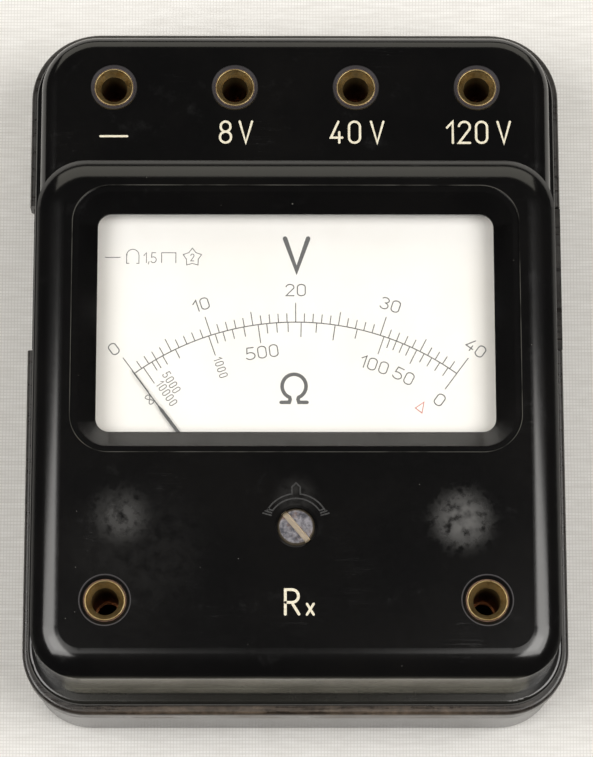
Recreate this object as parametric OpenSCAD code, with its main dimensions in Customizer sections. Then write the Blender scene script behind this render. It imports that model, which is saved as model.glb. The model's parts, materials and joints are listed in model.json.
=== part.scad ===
// Pocket volt and ohm meter in a moulded case: a base tray with a battery drawer
// that slides out of its right side, and a stepped cover that carries six sockets,
// a glass window and a zero adjuster above a moving-coil movement.
// X runs to the right, Y towards the terminal deck, Z up. The origin is the middle
// of the underside. All sizes are millimetres.

/* [Case] */
// Width over the base rim
body_w = 84; // [82:0.2:110]
// Length over the base rim
body_l = 109.6; // [108:0.2:140]
// Height of the base from the table to the seam
base_h = 20.4; // [20:0.1:26]
// Height of the plateau above the seam
plateau_h = 17.6; // [17.2:0.1:24]
// Height of the terminal deck above the seam
deck_h = 9.1; // [8.2:0.1:12]
// Length of the terminal deck, from the back of the case to the step
deck_l = 25.5; // [25:0.1:34]
// Wall thickness of the cover
cover_wall = 2.2; // [1.8:0.1:2.8]
// Wall thickness of the base
base_wall = 2.4; // [1.8:0.1:2.8]
// Floor thickness of the base
base_floor = 2.2; // [1.6:0.1:2.8]
// Thickness of the flange round the foot of the cover
flange_h = 1.6; // [1:0.1:2]
// How far the flange stands out from the wall of the cover at the sides
flange_out = 1; // [0.5:0.1:1.6]
// How far the flange stands out from the wall of the cover at both ends
flange_out_end = 1.6; // [0.5:0.1:1.8]
// How far the base rim stands out from the flange at the sides
rim_out = 0.9; // [0.3:0.1:1.2]
// How far the base rim stands out from the flange at both ends
rim_out_end = 1.3; // [0.3:0.1:1.4]
// Height of the rim band round the top of the base
rim_h = 4; // [2.5:0.1:6]
// Rounding of the plateau edges
plateau_round = 5.6; // [4:0.1:6]
// Sweep of that rounding, down from the flat top to a crease in the wall
plateau_sweep = 50; // [40:1:60]
// Rounding of the deck edges and of the back edge of the plateau
deck_round = 2.6; // [1.5:0.1:3]
// Corner radius of the cover wall at the front
corner_front = 8; // [7.5:0.1:10]
// Corner radius of the cover wall at the back
corner_back = 9; // [8:0.1:11]
// How far the cover walls lean in over their height
wall_lean = 0.4; // [0:0.05:0.8]

/* [Window] */
// Distance from the side of the case to the clear opening
window_side = 11.6; // [11:0.1:14]
// Distance from the step to the clear opening
window_back = 8.7; // [8.4:0.1:12]
// Distance from the front of the case to the clear opening
window_front = 41.1; // [40.8:0.1:50]
// Width of the sloping wall round the opening
funnel_w = 2.8; // [1.5:0.1:3.2]
// Depth of the recess from the plateau to the opening
funnel_d = 3.2; // [2.4:0.1:3.4]
// Corner radius of the recess at the plateau
funnel_r = 4.9; // [4.2:0.1:7]
// Width of the shallow step round the recess
step_w = 0.9; // [0.3:0.1:1.2]
// Depth of the shallow step round the recess
step_d = 0.35; // [0.1:0.05:0.6]
// Thickness of the glass
glass_h = 1.4; // [1:0.1:1.6]

/* [Sockets] */
// Bore of each socket, for a 4 mm plug
socket_bore = 4.1; // [4:0.05:4.4]
// Outer diameter of the socket head
socket_head = 6.4; // [6.2:0.1:7]
// Diameter of the threaded socket body
socket_thread = 6; // [5.6:0.1:6.1]
// Length of a socket
socket_l = 16; // [13:0.5:16]
// Distance from the side of the case to the outer sockets
socket_side = 13.5; // [12.5:0.1:16]
// Distance from the back of the case to the deck sockets
socket_back = 11.8; // [11.6:0.1:13.5]
// Distance from the front of the case to the two resistance sockets
socket_front = 14.8; // [14.3:0.1:17]

/* [Movement] */
// Distance from the front of the case to the pointer axis
pivot_front = 17.6; // [17.5:0.1:20]
// Radius of the soft-iron core
core_r = 5; // [4:0.1:5.1]
// Length of the core
core_l = 11.2; // [9:0.1:11.4]
// Radial gap between the core and the pole faces
air_gap = 2.2; // [2.1:0.05:2.5]
// Height of the magnet and the pole pieces
magnet_h = 12; // [10:0.1:12.2]
// Inner radius of the magnet
magnet_in = 10.5; // [10.2:0.1:11]
// Thickness of the magnet limbs
magnet_t = 7; // [5:0.1:7.5]
// Distance from the pointer axis to the middle of the magnet bend
magnet_bend = 10; // [9:0.1:11]
// Length of the pointer from its axis
pointer_l = 42; // [38:0.5:44]
// Angle of the pointer from the middle of the scale when it reads zero
pointer_zero = 36.6; // [30:0.1:38]
// Distance from the pointer axis to the zero adjuster
zero_reach = 8.35; // [8:0.05:9]
// Throw of the pin on the zero adjuster
zero_throw = 1.05; // [0.8:0.05:1.1]
// Diameter of the zero adjuster head
zero_head = 5.6; // [5:0.1:6]

/* [Battery] */
// Diameter of the cell
cell_d = 14.5; // [13.5:0.1:14.7]
// Length of the cell
cell_l = 50.5; // [44:0.5:51]
// Width of the opening for the battery drawer
drawer_slot = 23.5; // [21:0.1:23.5]
// Distance from the step to the near side of that opening
drawer_back = 3.2; // [3:0.1:4]

/* [Clearances] */
// Gap between the drawer and its opening
drawer_gap = 0.3; // [0.25:0.05:0.4]
// Running clearance of a turning pin in its hole
run_gap = 0.08; // [0.04:0.01:0.1]
// Clearance of a fixed screw in its hole
screw_gap = 0.05; // [0.02:0.01:0.1]
// Gap round a part that drops into a seat
seat_gap = 0.2; // [0.1:0.05:0.3]

/* [Hidden] */
$fn = 48;
tiny = 0.01;

// Case levels and outlines
seam_z = base_h;
deck_z = seam_z + deck_h;
plateau_z = seam_z + plateau_h;
deck_in = deck_z - cover_wall;
plateau_in = plateau_z - cover_wall - 0.2;
flange_inset = rim_out;
wall_inset = rim_out + flange_out;
inner_inset = wall_inset + cover_wall;
flange_inset_end = rim_out_end;
wall_inset_end = rim_out_end + flange_out_end;
inner_inset_end = wall_inset_end + cover_wall;
base_inset = 0.5 + base_wall;
front_y = -body_l / 2;
back_y = body_l / 2;
step_y = back_y - deck_l;
skirt = 7;

// Window
win_w = body_w - 2 * window_side;
win_y0 = front_y + window_front;
win_y1 = step_y - window_back;
win_cy = (win_y0 + win_y1) / 2;
win_h = win_y1 - win_y0;
lip_h = 0.4;
seat_z = plateau_z - funnel_d - lip_h;
gasket_h = 0.3;
glass_over = 2;
glass_top = seat_z - gasket_h;
glass_bot = glass_top - glass_h;
retainer_h = 0.4;
retainer_z = glass_bot - retainer_h;

// Dial and pointer plane
pointer_t = 0.2;
pointer_z = retainer_z - 0.5 - pointer_t;
dial_h = 0.6;
dial_top = pointer_z - 0.4;
dial_bot = dial_top - dial_h;
dial_over = 2.6;

// Sockets
socket_x = body_w / 2 - socket_side;
socket_pitch = 2 * socket_x / 3;
socket_y = back_y - socket_back;
rx_y = front_y + socket_front;
socket_sink = 0.5;
nut_h = 2.5;
nut_af = 9;
tag_h = 0.5;

// Movement
pivot_y = front_y + pivot_front;
bore_r = core_r + air_gap;
core_z = plateau_z - 20;
coil_in = core_r + 0.5;
former_t = 0.4;
winding_t = 0.8;
coil_hi = core_z + core_l / 2 + 0.6;
coil_lo = core_z - core_l / 2 - 0.6;
coil_top = coil_hi + former_t + winding_t;
coil_bot = coil_lo - former_t - winding_t;
magnet_z = core_z - magnet_h / 2;
magnet_top = core_z + magnet_h / 2;
bridge_h = 1.4;
bridge_w = 6;
bridge_top_z = coil_top + 3.4;
bridge_bot_z = coil_bot - 3.8 - bridge_h;
bridge_post_x = bore_r + 1.8;
post_r = 1.4;
jewel_r = 1.5;
staff_r = 0.5;
tip_top_z = bridge_top_z - 0.4;
tip_bot_z = bridge_bot_z + bridge_h + 0.3;
hub_z = coil_top + 0.6;
spring_h = 0.5;
spring_top_z = hub_z + 1.3;
spring_bot_z = coil_bot - 2.4;
zero_y = pivot_y + zero_reach;
arm_z = bridge_top_z + bridge_h + 0.2;
arm_h = 0.6;

// Clamp, pillars and boards
clamp_h = 1.2;
clamp_x = magnet_in + magnet_t + 5.5;
clamp_y = pivot_y + 21.6;
pillar_r = 2;
board_h = 1.5;
circuit_z = seam_z + 1.2;
resistor_z = base_floor + 5.8;
resistor_post_x = socket_pitch;
resistor_post_y = step_y + 5.5;
stud_r = 1;

// Drawer
drawer_y1 = step_y - drawer_back;
drawer_y0 = drawer_y1 - drawer_slot;
drawer_cy = (drawer_y0 + drawer_y1) / 2;
drawer_w = drawer_slot - 2 * drawer_gap;
drawer_z = base_floor + drawer_gap;
drawer_top = seam_z - drawer_gap;
drawer_x1 = body_w / 2;
drawer_x0 = -body_w / 2 + 0.7;
drawer_floor = 1.6;
drawer_side = 1.8;
guide_t = 1.5;
cell_z = drawer_z + drawer_floor + 0.2 + cell_d / 2;
cell_x1 = drawer_x1 - 10.5;
cell_x0 = cell_x1 - cell_l;
contact_t = 0.4;
spring_room = 2;
partition_t = 1.6;

// Case screws
case_screw_r = 1.5;
case_screw_in = 7.5;
case_screw_in_end = 8.3;
case_screw_x = body_w / 2 - case_screw_in;
case_screw_y = body_l / 2 - case_screw_in_end;
case_boss_h = 3.6;
case_boss_r = 3.6;
case_post_r = 3.7;

// ---- shared shapes ----

// Solid with a rounded-rectangle plan. The child is the half profile of its edge:
// x = 0 on the outline and negative inwards as far as -skirt_w, y upwards.
// The profile is revolved at the corners and extruded along the sides.
module edge_solid(half_w, y0, y1, rf, rb, z0, z1, skirt_w) {
    // one quarter turn at each corner
    for (c = [[1, 1, rb, 0], [-1, 1, rb, 90], [-1, -1, rf, 180], [1, -1, rf, 270]])
        translate([c[0] * (half_w - c[2]), c[1] > 0 ? y1 - c[2] : y0 + c[2], 0])
            rotate([0, 0, c[3]])
                rotate_extrude(angle = 90)
                    translate([c[2], 0])
                        children();
    // straight sides
    for (side = [-1, 1])
        translate([side * half_w, side > 0 ? y0 + rf : y1 - rb, 0])
            rotate([90, 0, side > 0 ? 0 : 180])
                translate([0, 0, rf + rb - (y1 - y0)])
                    linear_extrude(y1 - y0 - rf - rb)
                        children();
    translate([-half_w + rf, y0, 0])
        rotate([90, 0, -90])
            translate([0, 0, -2 * (half_w - rf)])
                linear_extrude(2 * (half_w - rf))
                    children();
    translate([half_w - rb, y1, 0])
        rotate([90, 0, 90])
            translate([0, 0, -2 * (half_w - rb)])
                linear_extrude(2 * (half_w - rb))
                    children();
    translate([-half_w + skirt_w, y0 + skirt_w, z0])
        cube([2 * (half_w - skirt_w), y1 - y0 - 2 * skirt_w, z1 - z0]);
}

// Edge profile that leans in by lean and is rounded by round_r at its top
module leaning_profile(z0, z1, round_r, lean) {
    polygon([[-skirt, z0], [0, z0], [-lean, z1 - round_r],
        [-lean - round_r, z1 - round_r], [-lean - round_r, z1], [-skirt, z1]]);
    translate([-lean - round_r, z1 - round_r])
        quarter_round(round_r);
}

// The same, but the rounding sweeps less than a quarter turn down from the flat top
// and meets the leaning wall in a crease
module creased_profile(z0, z1, round_r, lean, sweep) {
    mid_x = -lean - round_r * sin(sweep);
    mid_z = z1 - round_r;
    out_x = mid_x + round_r;
    crease_z = mid_z + round_r * cos(sweep);
    over_z = z1 + 1;
    over_x = -lean * (over_z - z0) / (crease_z - z0);
    intersection() {
        polygon([[-skirt, z0], [0, z0], [over_x, over_z], [-skirt, over_z]]);
        union() {
            polygon([[-skirt, z0 - 1], [out_x, z0 - 1], [out_x, mid_z], [mid_x, mid_z],
                [mid_x, z1], [-skirt, z1]]);
            translate([mid_x, mid_z])
                quarter_round(round_r);
        }
    }
}

module quarter_round(r) {
    intersection() {
        circle(r = r);
        square(r);
    }
}

// Plain upright block with a rounded-rectangle plan
module slab(half_w, y0, y1, rf, rb, z0, z1) {
    edge_solid(half_w, y0, y1, rf, rb, z0, z1, min(rf, rb))
        translate([-min(rf, rb), z0])
            square([min(rf, rb), z1 - z0]);
}

// Flat plate with rounded corners, centred on x = 0
module plate(w, y0, y1, r, z0, h) {
    slab(w / 2, y0, y1, r, r, z0, z0 + h);
}

module ring(r_out, r_in, h) {
    difference() {
        cylinder(r = r_out, h = h);
        translate([0, 0, -tiny])
            cylinder(r = r_in, h = h + 2 * tiny);
    }
}

module hex_nut(af, r_in, h) {
    difference() {
        cylinder(r = af / sqrt(3), h = h, $fn = 6);
        translate([0, 0, -tiny])
            cylinder(r = r_in, h = h + 2 * tiny);
    }
}

// Slotted screw with its head above z = 0 and its shank below
module slotted_screw(head_r, head_h, shank_r, shank_l) {
    slot_w = head_r * 0.36;
    difference() {
        union() {
            cylinder(r = head_r, h = head_h);
            translate([0, 0, -shank_l])
                cylinder(r = shank_r, h = shank_l + tiny);
        }
        translate([-head_r - 1, -slot_w / 2, head_h * 0.55])
            cube([2 * head_r + 2, slot_w, head_h]);
    }
}

// ---- layout helpers ----

module at_deck_sockets() {
    for (i = [0 : 3])
        translate([(i - 1.5) * socket_pitch, socket_y, deck_z])
            children();
}

module at_rx_sockets() {
    for (side = [-1, 1])
        translate([side * socket_x, rx_y, plateau_z])
            children();
}

module at_case_screws() {
    for (sx = [-1, 1], sy = [-1, 1])
        translate([sx * case_screw_x, sy * case_screw_y, 0])
            children();
}

retainer_screw_x = win_w / 2 + 4.9;
module at_retainer_screws() {
    for (sx = [-1, 1], y = [win_y0 + 3, win_y1 - 3])
        translate([sx * retainer_screw_x, y, retainer_z])
            children();
}

module at_clamp_studs() {
    for (side = [-1, 1])
        translate([side * clamp_x, clamp_y, 0])
            children();
}

dial_north_x = win_w / 2 + 0.9;
dial_north_y = win_y1 + 1.3;
module at_dial_north() {
    for (side = [-1, 1])
        translate([side * dial_north_x, dial_north_y, 0])
            children();
}

module at_bridge_posts() {
    for (side = [-1, 1])
        translate([side * bridge_post_x, pivot_y, 0])
            children();
}

board_post_r = 2.2;
board_post_x = body_w / 2 - 13;
board_post_y = [drawer_y0 - board_post_r - 0.1, drawer_y1 + board_post_r + 0.1];
module at_board_posts() {
    for (side = [-1, 1], y = board_post_y)
        translate([side * board_post_x, y, 0])
            children();
}

module at_resistor_posts() {
    for (side = [-1, 1])
        translate([side * resistor_post_x, resistor_post_y, 0])
            children();
}

// ---- case ----

// Hole through the cover for a socket, from the surface at z = 0
module socket_seat() {
    chamfer = 0.6;
    head_r = socket_head / 2 + screw_gap;
    translate([0, 0, -socket_sink])
        cylinder(r1 = head_r, r2 = head_r + chamfer, h = socket_sink + tiny);
    translate([0, 0, -1.5])
        cylinder(r = head_r, h = 1.5 - socket_sink + tiny);
    translate([0, 0, -6])
        cylinder(r = socket_thread / 2 + screw_gap, h = 6);
}

module cover_shell() {
    half = body_w / 2;
    difference() {
        union() {
            // flange round the foot, with a rounded outer edge
            edge_solid(half - flange_inset, front_y + flange_inset_end,
                back_y - flange_inset_end,
                corner_front + flange_out, corner_back + flange_out,
                seam_z, seam_z + flange_h, skirt)
                leaning_profile(seam_z, seam_z + flange_h, 0.7, 0);
            edge_solid(half - wall_inset, front_y + wall_inset_end, back_y - wall_inset_end,
                corner_front, corner_back, seam_z, deck_z, skirt)
                leaning_profile(seam_z, deck_z, deck_round, wall_lean * 0.4);
            edge_solid(half - wall_inset, front_y + wall_inset_end, step_y,
                corner_front, corner_front, seam_z, plateau_z, skirt)
                creased_profile(seam_z, plateau_z, plateau_round, wall_lean, plateau_sweep);
        }
        // hollow under the whole cover, and the taller one under the plateau
        edge_solid(half - inner_inset, front_y + inner_inset_end, back_y - inner_inset_end,
            corner_front - 1, corner_back - 1, seam_z - 1, deck_in, skirt - 1)
            translate([1 - skirt, seam_z - 1])
                square([skirt - 1, deck_in - seam_z + 1]);
        intersection() {
            edge_solid(half - inner_inset, front_y + inner_inset_end, step_y - cover_wall,
                corner_front - 1, corner_front - 1, seam_z - 1, plateau_in, skirt - 1)
                hollow_profile();
            translate([-half, front_y, deck_in - 1])
                cube([body_w, body_l, plateau_h]);
        }
    }
}

// Upper edge of the hollow under the plateau, parallel to the outside
module hollow_profile() {
    round_r = plateau_round - cover_wall * 0.4;
    polygon([[1 - skirt, seam_z - 1], [0, seam_z - 1], [-wall_lean, plateau_in - round_r],
        [-wall_lean - round_r, plateau_in - round_r], [-wall_lean - round_r, plateau_in],
        [1 - skirt, plateau_in]]);
    translate([-wall_lean - round_r, plateau_in - round_r])
        quarter_round(round_r);
}

module window_cut() {
    mouth_w = win_w / 2 + funnel_w;
    bead = 0.25;
    slope_z = plateau_z - step_d;
    // sloping wall, from the plateau down to the clear opening
    edge_solid(mouth_w, win_y0 - funnel_w, win_y1 + funnel_w, funnel_r, funnel_r,
        plateau_z - funnel_d, plateau_z + 1, funnel_r)
        polygon([[-funnel_r, plateau_z - funnel_d], [-funnel_w, plateau_z - funnel_d],
            [-bead, slope_z - bead], [0, slope_z], [0, plateau_z + 1],
            [-funnel_r, plateau_z + 1]]);
    // clear opening through the lip
    slab(win_w / 2, win_y0, win_y1, funnel_r - funnel_w, funnel_r - funnel_w,
        seat_z - 3, plateau_z - funnel_d + tiny);
    // shallow step round the mouth
    slab(mouth_w + step_w, win_y0 - funnel_w - step_w, win_y1 + funnel_w + step_w,
        funnel_r + step_w, funnel_r + step_w, slope_z, plateau_z + 1);
}

module window_frame() {
    frame_over = glass_over + 2;
    difference() {
        slab(win_w / 2 + frame_over, win_y0 - frame_over, win_y1 + frame_over, 3, 3,
            glass_bot, plateau_in + tiny);
        slab(win_w / 2 + glass_over + seat_gap, win_y0 - glass_over - seat_gap,
            win_y1 + glass_over + seat_gap, 2, 2, glass_bot - 1, seat_z);
    }
}

module cover() {
    zero_boss_r = zero_head / 2 + 1.8;
    lip_l = 14;
    lip_drop = 1.4;
    color("#17161a")
        difference() {
            union() {
                cover_shell();
                window_frame();
                // boss of the zero adjuster
                translate([0, zero_y, plateau_in - 2])
                    cylinder(r = zero_boss_r, h = 2 + tiny);
                // bosses for the case screws
                intersection() {
                    at_case_screws()
                        translate([0, 0, seam_z])
                            cylinder(r = case_boss_r, h = case_boss_h);
                    slab(body_w / 2 - wall_inset - 1, front_y + wall_inset_end + 1,
                        back_y - wall_inset_end - 1, corner_front - 1, corner_back - 1,
                        seam_z, seam_z + case_boss_h);
                }
                // bosses for the retainer screws
                at_retainer_screws()
                    translate([0, 0, retainer_h])
                        cylinder(r = 1.7, h = plateau_in - glass_bot + tiny);
                // lips that drop inside the base at the front and the back
                for (side = [-1, 1], x = [-body_w / 4, body_w / 4 - lip_l])
                    translate([x, side * (body_l / 2 - base_inset - 1) - 0.6,
                        seam_z - lip_drop])
                        cube([lip_l, 1.2, lip_drop + cover_wall]);
            }
            window_cut();
            at_deck_sockets()
                socket_seat();
            at_rx_sockets()
                socket_seat();
            at_case_screws()
                translate([0, 0, seam_z - 1])
                    cylinder(r = case_screw_r + screw_gap, h = 7);
            at_retainer_screws()
                translate([0, 0, -1])
                    cylinder(r = 0.8 + screw_gap, h = 3.2);
            translate([0, zero_y, 0]) {
                zero_well();
                translate([0, 0, plateau_in - 3])
                    cylinder(r = zero_stem_r + run_gap, h = 6);
            }
        }
}

zero_stem_r = 1.6;
zero_head_h = 2.3;
zero_sink = 0.35;
module zero_well() {
    well_r = zero_head / 2 + run_gap;
    chamfer = 0.35;
    translate([0, 0, plateau_z - zero_sink - zero_head_h - 0.1])
        cylinder(r = well_r, h = zero_head_h + 1);
    translate([0, 0, plateau_z - chamfer])
        cylinder(r1 = well_r, r2 = well_r + chamfer, h = chamfer + tiny);
}

// Outer edge of the base: a rounded foot, a plain wall and a slightly wider rim
module base_profile() {
    foot_r = 1.6;
    inset = 0.5;
    lip_r = 0.7;
    rim_z = seam_z - rim_h;
    polygon([[-skirt, 0], [-inset - foot_r, 0], [-inset, foot_r], [-inset, rim_z - inset],
        [0, rim_z], [0, seam_z - lip_r], [-lip_r, seam_z - lip_r], [-lip_r, seam_z],
        [-skirt, seam_z]]);
    translate([-inset - foot_r, foot_r])
        mirror([0, 1])
            quarter_round(foot_r);
    translate([-lip_r, seam_z - lip_r])
        quarter_round(lip_r);
}

module base_tray() {
    half = body_w / 2;
    rf = corner_front + wall_inset;
    rb = corner_back + wall_inset;
    post_in = 0.6;
    color("#241a15")
        difference() {
            union() {
                difference() {
                    edge_solid(half, front_y, back_y, rf, rb, 0, seam_z, skirt)
                        base_profile();
                    edge_solid(half - base_inset, front_y + base_inset, back_y - base_inset,
                        rf - base_inset, rb - base_inset, base_floor, seam_z + 1, skirt - 1)
                        translate([1 - skirt, base_floor])
                            square([skirt - 1, seam_z + 1 - base_floor]);
                }
                // posts for the case screws
                intersection() {
                    at_case_screws()
                        cylinder(r = case_post_r, h = seam_z);
                    slab(half - post_in - 0.5, front_y + post_in + 0.5, back_y - post_in - 0.5,
                        rf - post_in - 0.5, rb - post_in - 0.5, 0.5, seam_z);
                }
                // guide walls on both sides of the drawer
                for (y = [drawer_y0 - guide_t, drawer_y1])
                    translate([-half + base_inset - 0.5, y, base_floor - tiny])
                        cube([body_w - 2 * base_inset + 1, guide_t, seam_z - 3.4 - base_floor]);
                // posts for the circuit board, the resistor board and the clamp
                at_board_posts()
                    post(board_post_r, circuit_z);
                at_resistor_posts()
                    post(3, resistor_z);
                at_clamp_studs()
                    post(3.5, magnet_top);
                // rests under the magnet
                for (side = [-1, 1])
                    translate([side * (magnet_in + magnet_t / 2), pivot_y - 6, 0])
                        post(2.5, magnet_z);
                translate([0, pivot_y + magnet_bend + magnet_in + magnet_t / 2, 0])
                    post(3, magnet_z);
            }
            translate([-half - 1, drawer_y0, base_floor])
                cube([body_w + 2, drawer_slot, seam_z]);
            at_case_screws() {
                translate([0, 0, -1])
                    cylinder(r = case_screw_r + screw_gap, h = seam_z + 2);
                translate([0, 0, -1])
                    cylinder(r = 3.1, h = 4.2);
            }
            at_board_posts()
                translate([0, 0, circuit_z - 4])
                    cylinder(r = stud_r + screw_gap, h = 5);
            at_resistor_posts()
                translate([0, 0, resistor_z - 4])
                    cylinder(r = stud_r + screw_gap, h = 5);
            at_clamp_studs()
                translate([0, 0, magnet_top - 8])
                    cylinder(r = stud_r + screw_gap, h = 9);
        }
}

// Upright post that stands in the floor of the base
module post(r, top) {
    translate([0, 0, base_floor - 0.5])
        cylinder(r = r, h = top - base_floor + 0.5);
}

module case_screws() {
    color("#8d8a82")
        at_case_screws()
            translate([0, 0, 3.2])
                mirror([0, 0, 1])
                    slotted_screw(2.8, 2.4, case_screw_r, seam_z);
}

// ---- window ----

module window_gasket() {
    color("#1c1c1c")
        difference() {
            slab(win_w / 2 + glass_over, win_y0 - glass_over, win_y1 + glass_over, 1.8, 1.8,
                glass_top, seat_z);
            slab(win_w / 2 + 0.2, win_y0 - 0.2, win_y1 + 0.2, 1.8, 1.8,
                glass_top - 1, seat_z + 1);
        }
}

module window_glass() {
    color([0.85, 0.92, 0.95, 0.35])
        slab(win_w / 2 + glass_over, win_y0 - glass_over, win_y1 + glass_over, 1.8, 1.8,
            glass_bot, glass_top);
}

module glass_retainer() {
    color("#b9b7b0")
        difference() {
            union() {
                slab(win_w / 2 + 3.8, win_y0 - 3.8, win_y1 + 3.8, 2, 2,
                    retainer_z, retainer_z + retainer_h);
                at_retainer_screws()
                    cylinder(r = 1.8, h = retainer_h);
            }
            slab(win_w / 2 + 1, win_y0 - 1, win_y1 + 1, 1.6, 1.6,
                retainer_z - 1, retainer_z + 1);
            at_retainer_screws()
                translate([0, 0, -1])
                    cylinder(r = 0.8 + screw_gap, h = 3);
        }
}

module retainer_screws() {
    color("#c9a95c")
        at_retainer_screws()
            mirror([0, 0, 1])
                slotted_screw(1.5, 0.9, 0.8, 2);
}

// ---- sockets ----

// Turned socket with its flared mouth just under the surface at z = 0
module socket() {
    flare_r = socket_bore / 2 + 0.85;
    flare_h = 1.1;
    rim_r = 0.16;
    narrow_r = socket_bore / 2 - 0.35;
    bore_l = socket_l - 2.5;
    color("#b28a3c")
        translate([0, 0, -socket_sink])
            difference() {
                union() {
                    translate([0, 0, -1])
                        cylinder(r = socket_head / 2, h = 1);
                    translate([0, 0, -socket_l])
                        cylinder(r = socket_thread / 2, h = socket_l);
                    rotate_extrude()
                        translate([socket_head / 2 - rim_r - 0.1, 0])
                            circle(r = rim_r);
                }
                translate([0, 0, -flare_h])
                    cylinder(r1 = socket_bore / 2, r2 = flare_r, h = flare_h + tiny);
                translate([0, 0, -bore_l])
                    cylinder(r = socket_bore / 2, h = bore_l);
                translate([0, 0, -socket_l - 1])
                    cylinder(r = narrow_r, h = 4);
            }
}

module deck_socket(i) {
    translate([(i - 1.5) * socket_pitch, socket_y, deck_z])
        socket();
}

module rx_socket(side) {
    translate([side * socket_x, rx_y, plateau_z])
        socket();
}

module socket_common() {
    deck_socket(0);
}

module socket_8v() {
    deck_socket(1);
}

module socket_40v() {
    deck_socket(2);
}

module socket_120v() {
    deck_socket(3);
}

module socket_rx_left() {
    rx_socket(-1);
}

module socket_rx_right() {
    rx_socket(1);
}

module socket_nuts() {
    color("#a8843c") {
        at_deck_sockets()
            translate([0, 0, deck_in - deck_z - tag_h - nut_h])
                hex_nut(nut_af, socket_thread / 2 + screw_gap, nut_h);
        at_rx_sockets()
            translate([0, 0, plateau_in - plateau_z - tag_h - nut_h])
                hex_nut(nut_af, socket_thread / 2 + screw_gap, nut_h);
    }
}

// Ring with a tail, clamped between the cover and a socket nut
module solder_tag(turn) {
    tail_w = 2.4;
    tail_l = 8.5;
    rotate([0, 0, turn])
        difference() {
            union() {
                cylinder(r = 4.4, h = tag_h);
                translate([0, -tail_w / 2, 0])
                    cube([tail_l, tail_w, tag_h]);
            }
            translate([0, 0, -1])
                cylinder(r = socket_thread / 2 + screw_gap, h = 3);
            translate([tail_l - 1.2, 0, -1])
                cylinder(r = 0.6, h = 3);
        }
}

module solder_tags() {
    color("#cfc9b4") {
        at_deck_sockets()
            translate([0, 0, deck_in - deck_z - tag_h])
                solder_tag(-90);
        at_rx_sockets()
            translate([0, 0, plateau_in - plateau_z - tag_h])
                solder_tag(90);
    }
}

// ---- zero adjuster ----

module zero_screw() {
    head_r = zero_head / 2;
    head_top = plateau_z - zero_sink;
    slot_w = 0.9;
    slot_turn = -50;
    stem_bot = plateau_in - 3.6;
    groove_z = plateau_in - 2.9;
    color("#8f8a7c")
        translate([0, zero_y, 0])
            difference() {
                union() {
                    translate([0, 0, head_top - zero_head_h])
                        cylinder(r = head_r, h = zero_head_h - 0.3);
                    translate([0, 0, head_top - 0.3])
                        cylinder(r1 = head_r, r2 = head_r - 0.3, h = 0.3);
                    translate([0, 0, stem_bot])
                        cylinder(r = zero_stem_r, h = head_top - zero_head_h - stem_bot + tiny);
                    // pin that works in the fork of the zero arm
                    translate([0, -zero_throw, arm_z - 0.4])
                        cylinder(r = zero_pin_r, h = stem_bot - arm_z + 0.4 + tiny);
                }
                rotate([0, 0, slot_turn])
                    translate([-head_r - 1, -slot_w / 2, head_top - 0.9])
                        cube([2 * head_r + 2, slot_w, 2]);
                translate([0, 0, groove_z])
                    difference() {
                        cylinder(r = zero_stem_r + 1, h = 0.5);
                        translate([0, 0, -1])
                            cylinder(r = zero_stem_r - 0.5, h = 3);
                    }
            }
}

zero_pin_r = 0.5;
module zero_screw_clip() {
    color("#6f6f6f")
        translate([0, zero_y, plateau_in - 2.85])
            difference() {
                cylinder(r = 3, h = 0.4);
                translate([0, 0, -1])
                    cylinder(r = zero_stem_r - 0.5 + 0.02, h = 3);
                translate([0, -0.9, -1])
                    cube([4, 1.8, 3]);
            }
}

// Arm that turns on the top jewel screw and carries the upper hairspring stud
module zero_arm() {
    slot_half = zero_pin_r + 0.12;
    prong_end = zero_reach + 0.6;
    ring_r = 3.2;
    leg_y = -4.6;
    color("#c2a55a")
        translate([0, pivot_y, arm_z])
            difference() {
                union() {
                    cylinder(r = ring_r, h = arm_h);
                    translate([-slot_half - 0.8, 0, 0])
                        cube([2 * slot_half + 1.6, prong_end, arm_h]);
                    translate([-0.7, leg_y - 0.5, 0])
                        cube([1.4, 3, arm_h]);
                    // leg down to the outer end of the hairspring
                    translate([-0.5, leg_y - 0.5, spring_top_z - arm_z])
                        cube([1, 0.6, arm_z - spring_top_z + tiny]);
                }
                translate([0, 0, -1])
                    cylinder(r = jewel_r + run_gap, h = 3);
                translate([-slot_half, ring_r + 1.2, -1])
                    cube([2 * slot_half, prong_end, 3]);
            }
}

// ---- dial ----

module dial_plate() {
    color("#f4f2ea")
        difference() {
            plate(win_w + 2 * dial_over, win_y0 - 3.6, win_y1 + dial_over, 1.5,
                dial_bot, dial_h);
            at_dial_north()
                translate([0, 0, dial_bot - 1])
                    cylinder(r = 0.8 + screw_gap, h = 3);
            at_clamp_studs()
                translate([0, 0, dial_bot - 1])
                    cylinder(r = 0.8 + screw_gap, h = 3);
        }
}

module dial_screws() {
    color("#c9a95c") {
        at_dial_north()
            translate([0, 0, dial_top])
                slotted_screw(1.2, 0.7, 0.8, 3);
        at_clamp_studs()
            translate([0, 0, dial_top])
                slotted_screw(1.2, 0.7, 0.8, 3);
    }
}

// Pillar from z0 up to the underside of the dial, with a threaded stud below it
module dial_pillar(z0, stud_l) {
    difference() {
        union() {
            translate([0, 0, z0])
                cylinder(r = 1.8, h = dial_bot - z0, $fn = 6);
            translate([0, 0, z0 - stud_l])
                cylinder(r = stud_r, h = stud_l + tiny);
        }
        translate([0, 0, dial_bot - 3.4])
            cylinder(r = 0.8 + screw_gap, h = 5);
    }
}

module dial_pillars() {
    color("#b99a4a") {
        at_dial_north()
            dial_pillar(circuit_z + board_h, board_h);
        at_clamp_studs()
            dial_pillar(magnet_top + clamp_h, clamp_h + 6);
    }
}

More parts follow.
